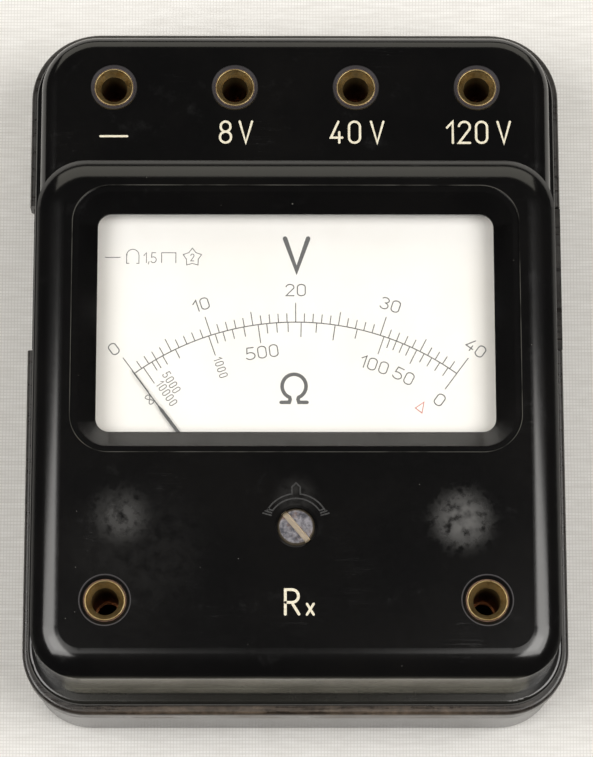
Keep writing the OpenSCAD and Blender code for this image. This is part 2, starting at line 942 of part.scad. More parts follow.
// Two wire stops in the dial, just outside the ends of the scale
module stop_pins() {
    stop_reach = 26.6;
    stop_turn = pointer_zero + 5;
    color("#b9b7b0")
        for (side = [-1, 1])
            translate([side * stop_reach * sin(stop_turn),
                pivot_y + stop_reach * cos(stop_turn), dial_top])
                cylinder(r = 0.35, h = 0.9);
}

// ---- magnet system ----

module magnet() {
    outer = magnet_in + magnet_t;
    limb_y = pivot_y - 9;
    bend_y = pivot_y + magnet_bend;
    color("#6a6c70")
        translate([0, 0, magnet_z])
            difference() {
                union() {
                    translate([0, bend_y, 0])
                        cylinder(r = outer, h = magnet_h);
                    translate([-outer, limb_y, 0])
                        cube([2 * outer, bend_y - limb_y, magnet_h]);
                }
                translate([0, bend_y, -1])
                    cylinder(r = magnet_in, h = magnet_h + 2);
                translate([-magnet_in, limb_y - 1, -1])
                    cube([2 * magnet_in, bend_y - limb_y + 1, magnet_h + 2]);
            }
}

// Pole piece between one magnet limb and the air gap
module pole_piece(side) {
    pole_l = 16;
    horn_x = 3.2;
    color("#7d7f83")
        translate([0, pivot_y, magnet_z])
            difference() {
                translate([side > 0 ? horn_x : -magnet_in, -pole_l / 2, 0])
                    cube([magnet_in - horn_x, pole_l, magnet_h]);
                translate([0, 0, -1])
                    cylinder(r = bore_r, h = magnet_h + 2);
                for (z = [-1, magnet_h - 3])
                    translate([side * bridge_post_x, 0, z])
                        cylinder(r = 0.8 + screw_gap, h = 4);
            }
}

module pole_piece_left() {
    pole_piece(-1);
}

module pole_piece_right() {
    pole_piece(1);
}

module core() {
    color("#85878a")
        translate([0, pivot_y, core_z])
            difference() {
                translate([0, 0, -core_l / 2])
                    cylinder(r = core_r, h = core_l);
                rotate([90, 0, 0])
                    cylinder(r = core_screw_r + screw_gap, h = core_r + 1);
            }
}

core_screw_r = 0.9;
bracket_y = pivot_y - core_r - 6.2;
bracket_t = 1.4;
module core_bracket() {
    foot_z = bridge_bot_z + bridge_h;
    color("#b99a4a")
        difference() {
            union() {
                translate([-2.6, bracket_y, foot_z])
                    cube([5.2, bracket_t, core_z + 3 - foot_z]);
                translate([0, pivot_y - core_r - 0.1, core_z])
                    rotate([90, 0, 0])
                        cylinder(r = 1.8, h = 6.2 - bracket_t);
            }
            translate([0, pivot_y, core_z])
                rotate([90, 0, 0])
                    cylinder(r = core_screw_r + screw_gap, h = 30);
        }
}

module core_screw() {
    color("#9a968c")
        translate([0, bracket_y, core_z])
            rotate([90, 0, 0])
                slotted_screw(1.6, 1, core_screw_r, core_r + 3);
}

module magnet_clamp() {
    clamp_w = 6;
    end_x = clamp_x + 3.4;
    color("#b99a4a")
        difference() {
            plate(2 * end_x, clamp_y - clamp_w / 2, clamp_y + clamp_w / 2, 2.4,
                magnet_top, clamp_h);
            at_clamp_studs()
                translate([0, 0, magnet_top - 1])
                    cylinder(r = stud_r + screw_gap, h = 4);
        }
}

// ---- bridges and jewels ----

module bridge_bar(z) {
    end_x = bridge_post_x + 2.2;
    translate([0, pivot_y, 0])
        plate(2 * end_x, -bridge_w / 2, bridge_w / 2, 1.5, z, bridge_h);
}

module bridge_holes(z) {
    translate([0, pivot_y, z - 1])
        cylinder(r = jewel_r + screw_gap, h = 4);
    at_bridge_posts()
        translate([0, 0, z - 1])
            cylinder(r = 0.8 + screw_gap, h = 4);
}

module bridge_top() {
    color("#c2a55a")
        difference() {
            bridge_bar(bridge_top_z);
            bridge_holes(bridge_top_z);
        }
}

module bridge_bottom() {
    color("#c2a55a")
        difference() {
            union() {
                bridge_bar(bridge_bot_z);
                // tongue that carries the core bracket
                translate([-2.6, bracket_y, bridge_bot_z])
                    cube([5.2, pivot_y - bracket_y - bridge_w / 2 + tiny, bridge_h]);
            }
            bridge_holes(bridge_bot_z);
        }
}

module bridge_posts() {
    color("#b99a4a")
        at_bridge_posts() {
            translate([0, 0, magnet_top])
                ring(post_r, 0.8 + screw_gap, bridge_top_z - magnet_top);
            translate([0, 0, bridge_bot_z + bridge_h])
                ring(post_r, 0.8 + screw_gap, magnet_z - bridge_bot_z - bridge_h);
        }
}

module bridge_screws() {
    grip = 2.4;
    color("#9a968c")
        at_bridge_posts() {
            translate([0, 0, bridge_top_z + bridge_h])
                slotted_screw(1.6, 0.9, 0.8, bridge_top_z + bridge_h - magnet_top + grip);
            translate([0, 0, bridge_bot_z])
                mirror([0, 0, 1])
                    slotted_screw(1.6, 0.9, 0.8, magnet_z - bridge_bot_z + grip);
        }
}

// Threaded jewel holder whose cup at z = 0 takes a pivot from below
module jewel_screw(l) {
    cup_r = 0.6;
    cup_d = 0.9;
    difference() {
        cylinder(r = jewel_r, h = l);
        translate([0, 0, -tiny])
            cylinder(r = cup_r, h = cup_d);
        translate([-3, -0.25, l - 0.6])
            cube([6, 0.5, 2]);
    }
}

module jewel_screw_top() {
    color("#a8a49a")
        translate([0, pivot_y, tip_top_z])
            jewel_screw(arm_z + arm_h + 1.9 - tip_top_z);
}

module jewel_screw_bottom() {
    color("#a8a49a")
        translate([0, pivot_y, tip_bot_z])
            mirror([0, 0, 1])
                jewel_screw(4);
}

module jewel_locknuts() {
    color("#c2a55a")
        translate([0, pivot_y, 0]) {
            translate([0, 0, arm_z + arm_h + 0.2])
                hex_nut(5, jewel_r + screw_gap, 1.2);
            translate([0, 0, bridge_bot_z - 1.2])
                hex_nut(5, jewel_r + screw_gap, 1.2);
        }
}

// ---- moving coil, drawn with the pointer at zero ----

module at_coil() {
    translate([0, pivot_y, 0])
        rotate([0, 0, pointer_zero])
            children();
}

module frame_box(half_x, half_y, z0, z1) {
    translate([-half_x, -half_y, z0])
        cube([2 * half_x, 2 * half_y, z1 - z0]);
}

module coil_former() {
    color("#c9ccd0")
        at_coil()
            difference() {
                frame_box(coil_in + former_t, 1.5, coil_lo - former_t, coil_hi + former_t);
                frame_box(coil_in, 3, coil_lo, coil_hi);
            }
}

module coil_winding() {
    outer = former_t + winding_t;
    color("#9c4a1e")
        at_coil()
            difference() {
                frame_box(coil_in + outer, 1.3, coil_lo - outer, coil_hi + outer);
                frame_box(coil_in + former_t, 3, coil_lo - former_t, coil_hi + former_t);
            }
}

// Pivot staff that stands on the coil and ends in a fine point
module staff(l) {
    point_l = 0.5;
    cylinder(r = 1.5, h = 0.4);
    cylinder(r = staff_r, h = l - point_l);
    translate([0, 0, l - point_l])
        cylinder(r1 = staff_r, r2 = 0.12, h = point_l);
}

module staff_top() {
    color("#b8b8b8")
        at_coil()
            translate([0, 0, coil_top])
                staff(tip_top_z + 0.6 - coil_top);
}

module staff_bottom() {
    color("#b8b8b8")
        at_coil()
            translate([0, 0, coil_bot])
                mirror([0, 0, 1])
                    staff(coil_bot - tip_bot_z + 0.6);
}

spring_turns = 3.5;
spring_in = 0.9;
spring_out = 4.2;
spring_t = 0.12;
function spiral_point(t, off) =
    let (r = spring_in + (spring_out - spring_in) * t + off, a = -90 - 360 * spring_turns * (1 - t))
    [r * cos(a), r * sin(a)];

// Flat spiral strip between the staff and its stud
module hairspring() {
    steps = 56;
    outer = [for (i = [0 : steps]) spiral_point(i / steps, spring_t / 2)];
    inner = [for (i = [steps : -1 : 0]) spiral_point(i / steps, -spring_t / 2)];
    linear_extrude(spring_h)
        polygon(concat(outer, inner));
}

module hairspring_top() {
    color("#c58a3a")
        translate([0, pivot_y, spring_top_z])
            hairspring();
}

module hairspring_bottom() {
    color("#c58a3a")
        translate([0, pivot_y, spring_bot_z])
            hairspring();
}

// Stud on the bottom bridge that holds the outer end of the lower hairspring
module spring_stud() {
    stud_y = pivot_y - spring_out - 0.65;
    color("#c2a55a")
        translate([0, stud_y, bridge_bot_z + bridge_h])
            cylinder(r = 0.5, h = spring_bot_z + spring_h - bridge_bot_z - bridge_h);
}

// Pointer with a low hub, a cranked middle and a fine tip above the dial
module pointer() {
    arm_w = 0.7;
    blade_w = 0.46;
    crank_r0 = 11.5;
    crank_r1 = 16;
    blade_r = 35.3;
    tip_w = 0.18;
    rise = pointer_z - hub_z;
    slope = atan(rise / (crank_r1 - crank_r0));
    slope_l = norm([rise, crank_r1 - crank_r0]);
    color("#141414")
        at_coil()
            difference() {
                union() {
                    translate([0, 0, hub_z])
                        cylinder(r = 1.3, h = 0.4);
                    translate([-arm_w / 2, 0, hub_z])
                        cube([arm_w, crank_r0 + 0.1, pointer_t]);
                    translate([-arm_w / 2, crank_r0, hub_z])
                        rotate([slope, 0, 0])
                            cube([arm_w, slope_l + 0.06, pointer_t]);
                    translate([0, 0, pointer_z])
                        linear_extrude(pointer_t)
                            polygon([[-arm_w / 2, crank_r1 - 0.2], [arm_w / 2, crank_r1 - 0.2],
                                [blade_w / 2, blade_r - 1], [tip_w / 2, blade_r],
                                [tip_w / 3, pointer_l], [-tip_w / 3, pointer_l],
                                [-tip_w / 2, blade_r], [-blade_w / 2, blade_r - 1]]);
                    // tail and side arms for the balance weights
                    translate([-0.3, -6.4, hub_z])
                        cube([0.6, 6.4, pointer_t]);
                    translate([-5.2, -0.3, hub_z])
                        cube([10.4, 0.6, pointer_t]);
                }
                translate([0, 0, hub_z - 1])
                    cylinder(r = staff_r, h = 4);
            }
}

module balance_weights() {
    color("#b99a4a")
        at_coil()
            translate([0, 0, hub_z + pointer_t]) {
                translate([0, -5.4, 0])
                    cylinder(r = 0.8, h = 0.6);
                for (side = [-1, 1])
                    translate([side * 4.6, 0, 0])
                        cylinder(r = 0.5, h = 0.6);
            }
}

// ---- boards and wiring ----

module circuit_board() {
    color("#8a5a2c")
        difference() {
            plate(2 * (body_w / 2 - 8), board_post_y[0] - 2.1, board_post_y[1] + 2.1, 1.5,
                circuit_z, board_h);
            at_board_posts()
                translate([0, 0, circuit_z - 1])
                    cylinder(r = stud_r + screw_gap, h = 4);
            at_dial_north()
                translate([0, 0, circuit_z - 1])
                    cylinder(r = stud_r + screw_gap, h = 4);
        }
}

module board_screws() {
    color("#9a968c") {
        at_board_posts()
            translate([0, 0, circuit_z + board_h])
                slotted_screw(1.8, 1, stud_r, board_h + 3);
        at_resistor_posts()
            translate([0, 0, resistor_z + board_h])
                slotted_screw(1.8, 1, stud_r, board_h + 3);
    }
}

// Wire-wound bobbin lying along X, resting on z = 0
module bobbin(r, l) {
    cheek = 1.2;
    translate([-l / 2, 0, r])
        rotate([0, 90, 0]) {
            cylinder(r = r, h = cheek);
            cylinder(r = r - 1, h = l);
            translate([0, 0, l - cheek])
                cylinder(r = r, h = cheek);
        }
}

module ohm_resistors() {
    color("#7c3c1c")
        for (side = [-1, 1])
            translate([side * 14, drawer_cy, circuit_z + board_h])
                bobbin(3.2, 15);
}

module resistor_board() {
    half = resistor_post_x + 11.4;
    color("#8a5a2c")
        difference() {
            plate(2 * half, step_y + 3.5, back_y - base_inset - 2.8, 1.5, resistor_z, board_h);
            at_resistor_posts()
                translate([0, 0, resistor_z - 1])
                    cylinder(r = stud_r + screw_gap, h = 4);
        }
}

module multiplier_resistors() {
    color("#7c3c1c")
        for (i = [-1, 0, 1])
            translate([i * socket_pitch, socket_y + 0.6, resistor_z + board_h])
                rotate([0, 0, 90])
                    bobbin(3.6, 12);
}

// Leaf springs under the circuit board that meet the contacts of the drawer
module contact_wipers() {
    reach = circuit_z - seam_z - 0.1;
    color("#cdb06a")
        for (x = [cell_x0 - spring_room - 0.8, cell_x1 + contact_t + 0.8])
            translate([x - 1, drawer_cy - 2.5, circuit_z - reach])
                difference() {
                    cube([2, 5, reach]);
                    translate([-1, 0.4, 0.4])
                        cube([4, 4.2, reach - 0.8]);
                }
}

// Insulated wire through a list of points, each run passing a little beyond its ends
module wire(points) {
    wire_r = 0.6;
    past = 0.3;
    for (i = [1 : len(points) - 1]) {
        run = points[i] - points[i - 1];
        flat = norm([run[0], run[1]]);
        translate(points[i - 1])
            rotate([0, atan2(flat, run[2]), atan2(run[1], run[0])])
                translate([0, 0, -past])
                    cylinder(r = wire_r, h = norm(run) + 2 * past, $fn = 8);
    }
}

module hookup_wires() {
    board_top = circuit_z + board_h + 0.6;
    rx_wire_z = plateau_in - tag_h - 0.65;
    deck_wire_z = deck_in - tag_h - 0.65;
    over_clamp_z = magnet_top + clamp_h + 0.6;
    color("#a33a2a") {
        for (side = [-1, 1])
            wire([[side * socket_x, rx_y + 7.3, rx_wire_z],
                [side * (socket_x - 2.2), rx_y + 10, rx_wire_z - 3],
                [side * (socket_x - 2.8), drawer_y0 - 8, over_clamp_z],
                [side * (socket_x - 5.5), drawer_y0 - 4, board_top],
                [side * (socket_x - 8), drawer_y0 + 4, board_top]]);
        for (i = [0 : 3])
            wire([[(i - 1.5) * socket_pitch, socket_y - 7.3, deck_wire_z],
                [(i - 1.5) * socket_pitch, socket_y - 8.6, deck_wire_z - 4],
                [(i - 1.5) * socket_pitch, socket_y - 8.6, resistor_z + board_h + 1],
                [(i - 1.5) * socket_pitch, socket_y - 5, resistor_z + board_h + 0.6]]);
    }
}

// ---- battery drawer ----

drawer_wall_h = cell_d * 0.62;
module battery_drawer() {
    end_t = 1.8;
    inner_w = drawer_w - 2 * drawer_side;
    ribs = 4;
    color("#201914")
        difference() {
            union() {
                translate([drawer_x0, drawer_cy - drawer_w / 2, drawer_z])
                    cube([drawer_x1 - drawer_x0, drawer_w, drawer_floor]);
                for (side = [-1, 1])
                    translate([drawer_x0, drawer_cy + side * (drawer_w - drawer_side) / 2
                        - drawer_side / 2, drawer_z])
                        cube([drawer_x1 - drawer_x0, drawer_side, drawer_wall_h]);
                for (x = [drawer_x0, drawer_x1 - end_t])
                    translate([x, drawer_cy - drawer_w / 2, drawer_z])
                        cube([end_t, drawer_w, drawer_top - drawer_z]);
                // partitions that carry the two contacts
                for (x = [cell_x0 - spring_room - partition_t, cell_x1 + contact_t])
                    translate([x, drawer_cy - inner_w / 2 - 0.2, drawer_z])
                        cube([partition_t, inner_w + 0.4, drawer_top - drawer_z - 0.5]);
                // cradle under the cell
                for (x = [cell_x0 + 8, cell_x1 - 10])
                    translate([x, drawer_cy - inner_w / 2 - 0.2, drawer_z])
                        cube([2, inner_w + 0.4, drawer_wall_h - 1]);
            }
            translate([cell_x0 - spring_room / 2, drawer_cy, cell_z])
                rotate([0, 90, 0])
                    cylinder(r = cell_d / 2 + 0.15, h = cell_l + spring_room / 2);
            // finger grooves across the outer end
            for (i = [0 : ribs - 1])
                translate([drawer_x1 + 0.25, drawer_cy - drawer_w, drawer_z + 4 + 3 * i])
                    rotate([-90, 0, 0])
                        cylinder(r = 0.65, h = 2 * drawer_w);
        }
}

module battery_cell() {
    nub_l = 1;
    nub_r = 2.7;
    edge = 0.6;
    color("#8c2f24")
        translate([cell_x0, drawer_cy, cell_z])
            rotate([0, 90, 0]) {
                cylinder(r1 = cell_d / 2 - edge, r2 = cell_d / 2, h = edge);
                translate([0, 0, edge])
                    cylinder(r = cell_d / 2, h = cell_l - nub_l - 2 * edge);
                translate([0, 0, cell_l - nub_l - edge])
                    cylinder(r1 = cell_d / 2, r2 = cell_d / 2 - edge, h = edge);
                cylinder(r = nub_r, h = cell_l);
            }
}

contact_w = 7;
contact_top = drawer_top - 0.1;
module contact_plus() {
    fold = 2;
    color("#cdb06a")
        translate([cell_x1, drawer_cy - contact_w / 2, 0]) {
            translate([0, 0, cell_z - 4])
                cube([contact_t, contact_w, contact_top - cell_z + 4]);
            translate([0, 0, contact_top - contact_t])
                cube([fold, contact_w, contact_t]);
        }
}

// Plate with a leaf that bears on the flat end of the cell
module contact_minus() {
    fold = 2;
    plate_x = cell_x0 - spring_room;
    color("#cdb06a")
        translate([plate_x, drawer_cy - contact_w / 2, 0]) {
            translate([0, 0, cell_z - 5])
                cube([contact_t, contact_w, contact_top - cell_z + 5]);
            translate([contact_t - fold, 0, contact_top - contact_t])
                cube([fold, contact_w, contact_t]);
            translate([0, contact_w / 4 + contact_w / 2, cell_z - 5])
                rotate([90, 0, 0])
                    linear_extrude(contact_w / 2)
                        polygon([[0, 0], [contact_t, 0], [spring_room - 0.05, 4.6],
                            [spring_room - 0.05, 5.4], [contact_t, 9], [0, 9], [0, 8.6],
                            [spring_room - 0.5, 5], [0, 0.6]]);
        }
}

// ---- one line per sub-part ----

cover();
base_tray();
window_gasket();
window_glass();
glass_retainer();
retainer_screws();
socket_common();
socket_8v();
socket_40v();
socket_120v();
socket_rx_left();
socket_rx_right();
socket_nuts();
solder_tags();
zero_screw();
zero_screw_clip();
zero_arm();
case_screws();
dial_plate();
dial_screws();
dial_pillars();
stop_pins();
magnet();
magnet_clamp();
pole_piece_left();
pole_piece_right();
core();
core_bracket();
core_screw();
bridge_top();
bridge_bottom();
bridge_posts();
bridge_screws();
jewel_screw_top();
jewel_screw_bottom();
jewel_locknuts();
coil_former();
coil_winding();
staff_top();
staff_bottom();
hairspring_top();
hairspring_bottom();
spring_stud();
pointer();
balance_weights();
circuit_board();
board_screws();
ohm_resistors();
resistor_board();
multiplier_resistors();
contact_wipers();
hookup_wires();
battery_drawer();
battery_cell();
contact_plus();
contact_minus();
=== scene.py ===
"""Looks of a pocket volt and ohm meter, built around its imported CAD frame.

Everything is in metres in the frame's own coordinates. Sizes in this file are
written in millimetres and multiplied by MM.
"""
import json
import math

import bmesh
import bpy
from mathutils import Matrix, Vector


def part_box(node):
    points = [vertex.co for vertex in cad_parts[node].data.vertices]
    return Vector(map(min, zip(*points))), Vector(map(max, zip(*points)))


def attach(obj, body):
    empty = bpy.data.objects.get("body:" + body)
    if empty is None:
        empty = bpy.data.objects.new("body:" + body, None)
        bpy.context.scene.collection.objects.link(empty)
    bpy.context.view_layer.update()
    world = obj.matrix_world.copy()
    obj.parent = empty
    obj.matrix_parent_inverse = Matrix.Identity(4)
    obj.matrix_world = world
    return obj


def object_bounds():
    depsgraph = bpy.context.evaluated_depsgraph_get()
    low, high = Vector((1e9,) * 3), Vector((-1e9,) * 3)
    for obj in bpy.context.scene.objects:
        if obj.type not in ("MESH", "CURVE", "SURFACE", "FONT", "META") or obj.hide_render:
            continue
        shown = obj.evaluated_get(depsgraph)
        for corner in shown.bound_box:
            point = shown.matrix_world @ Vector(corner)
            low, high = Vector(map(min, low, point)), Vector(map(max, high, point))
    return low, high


MM = 0.001
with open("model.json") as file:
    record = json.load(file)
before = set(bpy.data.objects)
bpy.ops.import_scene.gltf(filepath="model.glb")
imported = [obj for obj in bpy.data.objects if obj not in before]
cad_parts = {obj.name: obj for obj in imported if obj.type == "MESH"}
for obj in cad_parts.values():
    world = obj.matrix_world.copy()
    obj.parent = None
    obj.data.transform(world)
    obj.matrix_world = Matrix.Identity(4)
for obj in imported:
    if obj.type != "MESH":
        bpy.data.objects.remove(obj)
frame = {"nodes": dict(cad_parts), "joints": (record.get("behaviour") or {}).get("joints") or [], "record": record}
cad_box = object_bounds()
nodes = frame["nodes"]
record = frame["record"]
joints = {j["name"]: j for j in frame["joints"]}


# ---------------------------------------------------------------- places
def mm(v):
    """Metres to millimetres."""
    return [c / MM for c in v]


def box_mm(node):
    """Lower and upper corners of a node's box."""
    lo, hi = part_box(node)
    return mm(lo), mm(hi)


def centre_mm(node):
    """Middle of a node's box."""
    lo, hi = box_mm(node)
    return [(a + b) / 2 for a, b in zip(lo, hi)]


COVER_LO, COVER_HI = box_mm("cover")
BODY_LO, BODY_HI = (mm(corner) for corner in cad_box)
PLATEAU_Z = COVER_HI[2]
PIVOT = mm(joints["pointer_swing"]["pos_m"])
DECK_SOCKETS = ["socket_common", "socket_8v", "socket_40v", "socket_120v"]
RX_SOCKETS = ["socket_rx_left", "socket_rx_right"]
SOCKET_AT = {n: centre_mm(n) for n in DECK_SOCKETS + RX_SOCKETS}
SOCKET_SINK = 0.44  # the deck sockets end this far below the deck
DECK_Z = box_mm("socket_8v")[1][2] + SOCKET_SINK
DIAL_Z = box_mm("dial_plate")[1][2]
ZERO_AT = centre_mm("zero_screw")
LIP_DROP = 1.4  # lips inside the cover reach this far below the seam
SEAM_Z = COVER_LO[2] + LIP_DROP
RIM_H = 4.0  # height of the rim round the top of the base
RIM_Z = SEAM_Z - RIM_H
GLASS_LO, GLASS_HI = box_mm("window_glass")
GLASS_OVER = 2.0  # the glass reaches this far beyond its opening
FUNNEL_W = 2.8  # width of the slope round the opening
STEP_W = 0.9  # width of the shallow step round the slope
WINDOW_R = 4.9  # corner radius of the slope at the top
WINDOW_MID = [(a + b) / 2 for a, b in zip(GLASS_LO, GLASS_HI)]
WINDOW_HALF = [(b - a) / 2 - GLASS_OVER + FUNNEL_W for a, b in zip(GLASS_LO, GLASS_HI)]


# ---------------------------------------------------------------- node helpers
class Paint:
    """One procedural material. Its coordinates and lengths are in millimetres."""

    def __init__(self, name):
        self.mat = bpy.data.materials.new(name)
        self.mat.use_nodes = True
        self.tree = self.mat.node_tree
        self.tree.nodes.clear()
        self.out = self.add("ShaderNodeOutputMaterial")
        self.bsdf = self.add("ShaderNodeBsdfPrincipled")
        self.link(self.bsdf.outputs[0], self.out.inputs[0])
        tex = self.add("ShaderNodeTexCoord")
        self.pos = self.vec("SCALE", tex.outputs["Object"], scale=1 / MM)
        self.xyz = self.split(self.pos)

    def add(self, kind):
        return self.tree.nodes.new(kind)

    def link(self, a, b):
        self.tree.links.new(a, b)

    def put(self, socket, value):
        """Links another node's output to a socket, or sets a value."""
        if isinstance(value, bpy.types.NodeSocket):
            self.link(value, socket)
        elif value is not None:
            socket.default_value = value

    def vec(self, op, a, b=None, scale=None):
        """One step of vector arithmetic; lengths and distances come out as numbers."""
        n = self.add("ShaderNodeVectorMath")
        n.operation = op
        self.put(n.inputs[0], a)
        self.put(n.inputs[1], b)
        if scale is not None:
            n.inputs["Scale"].default_value = scale
        return n.outputs["Value"] if op in ("LENGTH", "DISTANCE") else n.outputs[0]

    def split(self, v):
        n = self.add("ShaderNodeSeparateXYZ")
        self.link(v, n.inputs[0])
        return n.outputs

    def math(self, op, a, b=None, clamp=False):
        """One step of arithmetic, kept within 0 and 1 when clamp is on."""
        n = self.add("ShaderNodeMath")
        n.operation = op
        n.use_clamp = clamp
        self.put(n.inputs[0], a)
        self.put(n.inputs[1], b)
        return n.outputs[0]

    def plus(self, a, b, clamp=False):
        return self.math("ADD", a, b, clamp=clamp)

    def minus(self, a, b):
        return self.math("SUBTRACT", a, b)

    def times(self, a, b):
        return self.math("MULTIPLY", a, b)

    def most(self, *masks):
        """The largest of several values."""
        total = masks[0]
        for m in masks[1:]:
            total = self.math("MAXIMUM", total, m)
        return total

    def noise(self, scale, detail=3.0, rough=0.5, vec=None, distort=0.0):
        n = self.add("ShaderNodeTexNoise")
        self.link(vec or self.pos, n.inputs["Vector"])
        n.inputs["Scale"].default_value = scale
        n.inputs["Detail"].default_value = detail
        n.inputs["Roughness"].default_value = rough
        n.inputs["Distortion"].default_value = distort
        return n.outputs["Fac"]

    def voronoi(self, scale, feature="F1", vec=None):
        n = self.add("ShaderNodeTexVoronoi")
        n.feature = feature
        self.link(vec or self.pos, n.inputs["Vector"])
        n.inputs["Scale"].default_value = scale
        return n

    def span(self, v, lo, hi):
        """0 at lo, 1 at hi, smooth between; lo may be the larger."""
        n = self.add("ShaderNodeMapRange")
        n.interpolation_type = "SMOOTHSTEP"
        self.put(n.inputs["Value"], v)
        limits = (lo, hi, 0, 1) if lo < hi else (hi, lo, 1, 0)
        for key, limit in zip(("From Min", "From Max", "To Min", "To Max"), limits):
            n.inputs[key].default_value = limit
        return n.outputs[0]

    def mix(self, fac, a, b):
        """Colour a where fac is 0, colour b where it is 1."""
        n = self.add("ShaderNodeMix")
        n.data_type = "RGBA"
        self.put(n.inputs[0], fac)
        for s, v in ((n.inputs[6], a), (n.inputs[7], b)):
            self.put(s, (*v, 1) if isinstance(v, tuple) and len(v) == 3 else v)
        return n.outputs[2]

    def bump(self, height, strength, distance):
        """Normal of a fine relief."""
        n = self.add("ShaderNodeBump")
        n.inputs["Strength"].default_value = strength
        n.inputs["Distance"].default_value = distance * MM
        self.link(height, n.inputs["Height"])
        return n.outputs[0]

    def stretched(self, angle, along, across):
        """Coordinates turned in plan and scaled unevenly, for streaks."""
        n = self.add("ShaderNodeMapping")
        n.vector_type = "POINT"
        n.inputs["Rotation"].default_value = (0, 0, math.radians(angle))
        n.inputs["Scale"].default_value = (along, across, across)
        self.link(self.pos, n.inputs["Vector"])
        return n.outputs[0]

    def scratches(self, angle, along=0.05, across=1.6, width=0.006, level=0.5):
        """Fine lines at an angle: a thin band of a stretched noise."""
        f = self.noise(1.0, 2.0, 0.4, self.stretched(angle, along, across))
        d = self.math("ABSOLUTE", self.minus(f, level))
        return self.span(d, width, width * 0.2)

    def specks(self, scale, size, share):
        """Scattered dots: a share of the cells of a Voronoi pattern."""
        v = self.voronoi(scale)
        near = self.span(v.outputs["Distance"], size, size * 0.5)
        pick = self.math("GREATER_THAN", self.split(v.outputs["Color"])[0], 1 - share)
        return self.times(near, pick)

    def plan(self):
        """Coordinates with their height left out."""
        return self.vec("MULTIPLY", self.pos, (1.0, 1.0, 0.0))

    def radius(self, x, y):
        """Distance from a vertical axis."""
        return self.vec("DISTANCE", self.plan(), (x, y, 0.0))

    def near(self, x, y, r0, r1, wobble=0.0):
        """1 within r0 of a point in plan, 0 beyond r1, with an uneven edge."""
        d = self.radius(x, y)
        if wobble:
            n = self.minus(self.noise(0.55, 4.0, 0.65), 0.5)
            d = self.math("ADD", d, self.times(n, wobble))
        return self.span(d, r1, r0)

    def rounded_box(self, mid, half, r):
        """Distance in plan from a rounded rectangle, negative inside it."""
        q = self.vec("ABSOLUTE", self.vec("SUBTRACT", self.plan(), (mid[0], mid[1], 0.0)))
        q = self.vec("SUBTRACT", q, (half[0] - r, half[1] - r, 0.0))
        outside = self.vec("LENGTH", self.vec("MAXIMUM", q, (0.0, 0.0, 0.0)))
        x, y, _ = self.split(q)
        inside = self.math("MINIMUM", self.math("MAXIMUM", x, y), 0.0)
        return self.minus(self.math("ADD", outside, inside), r)

    def finish(self, color, rough, metal, normal=None, **fixed):
        """Sets the surface; fixed holds other sockets, with _ for a space in a name."""
        b = self.bsdf.inputs
        for key, v in (("Base Color", color), ("Roughness", rough), ("Metallic", metal)):
            if isinstance(v, tuple) and len(v) == 3:
                v = (*v, 1)
            self.put(b[key], v)
        if normal:
            self.link(normal, b["Normal"])
        for key, v in fixed.items():
            b[key.replace("_", " ")].default_value = v
        return self.mat


# ---------------------------------------------------------------- materials
DECK_RING_R, DECK_RING_SOFT = 3.6, 0.1
RX_RING_IN, RX_RING_OUT, RX_RING_SOFT = 3.72, 3.9, 0.06


def disc(p, node, r, soft):
    """1 within a radius of a socket's axis, with an edge that is soft on both sides of it."""
    x, y, _ = SOCKET_AT[node]
    return p.near(x, y, r - soft, r + soft)


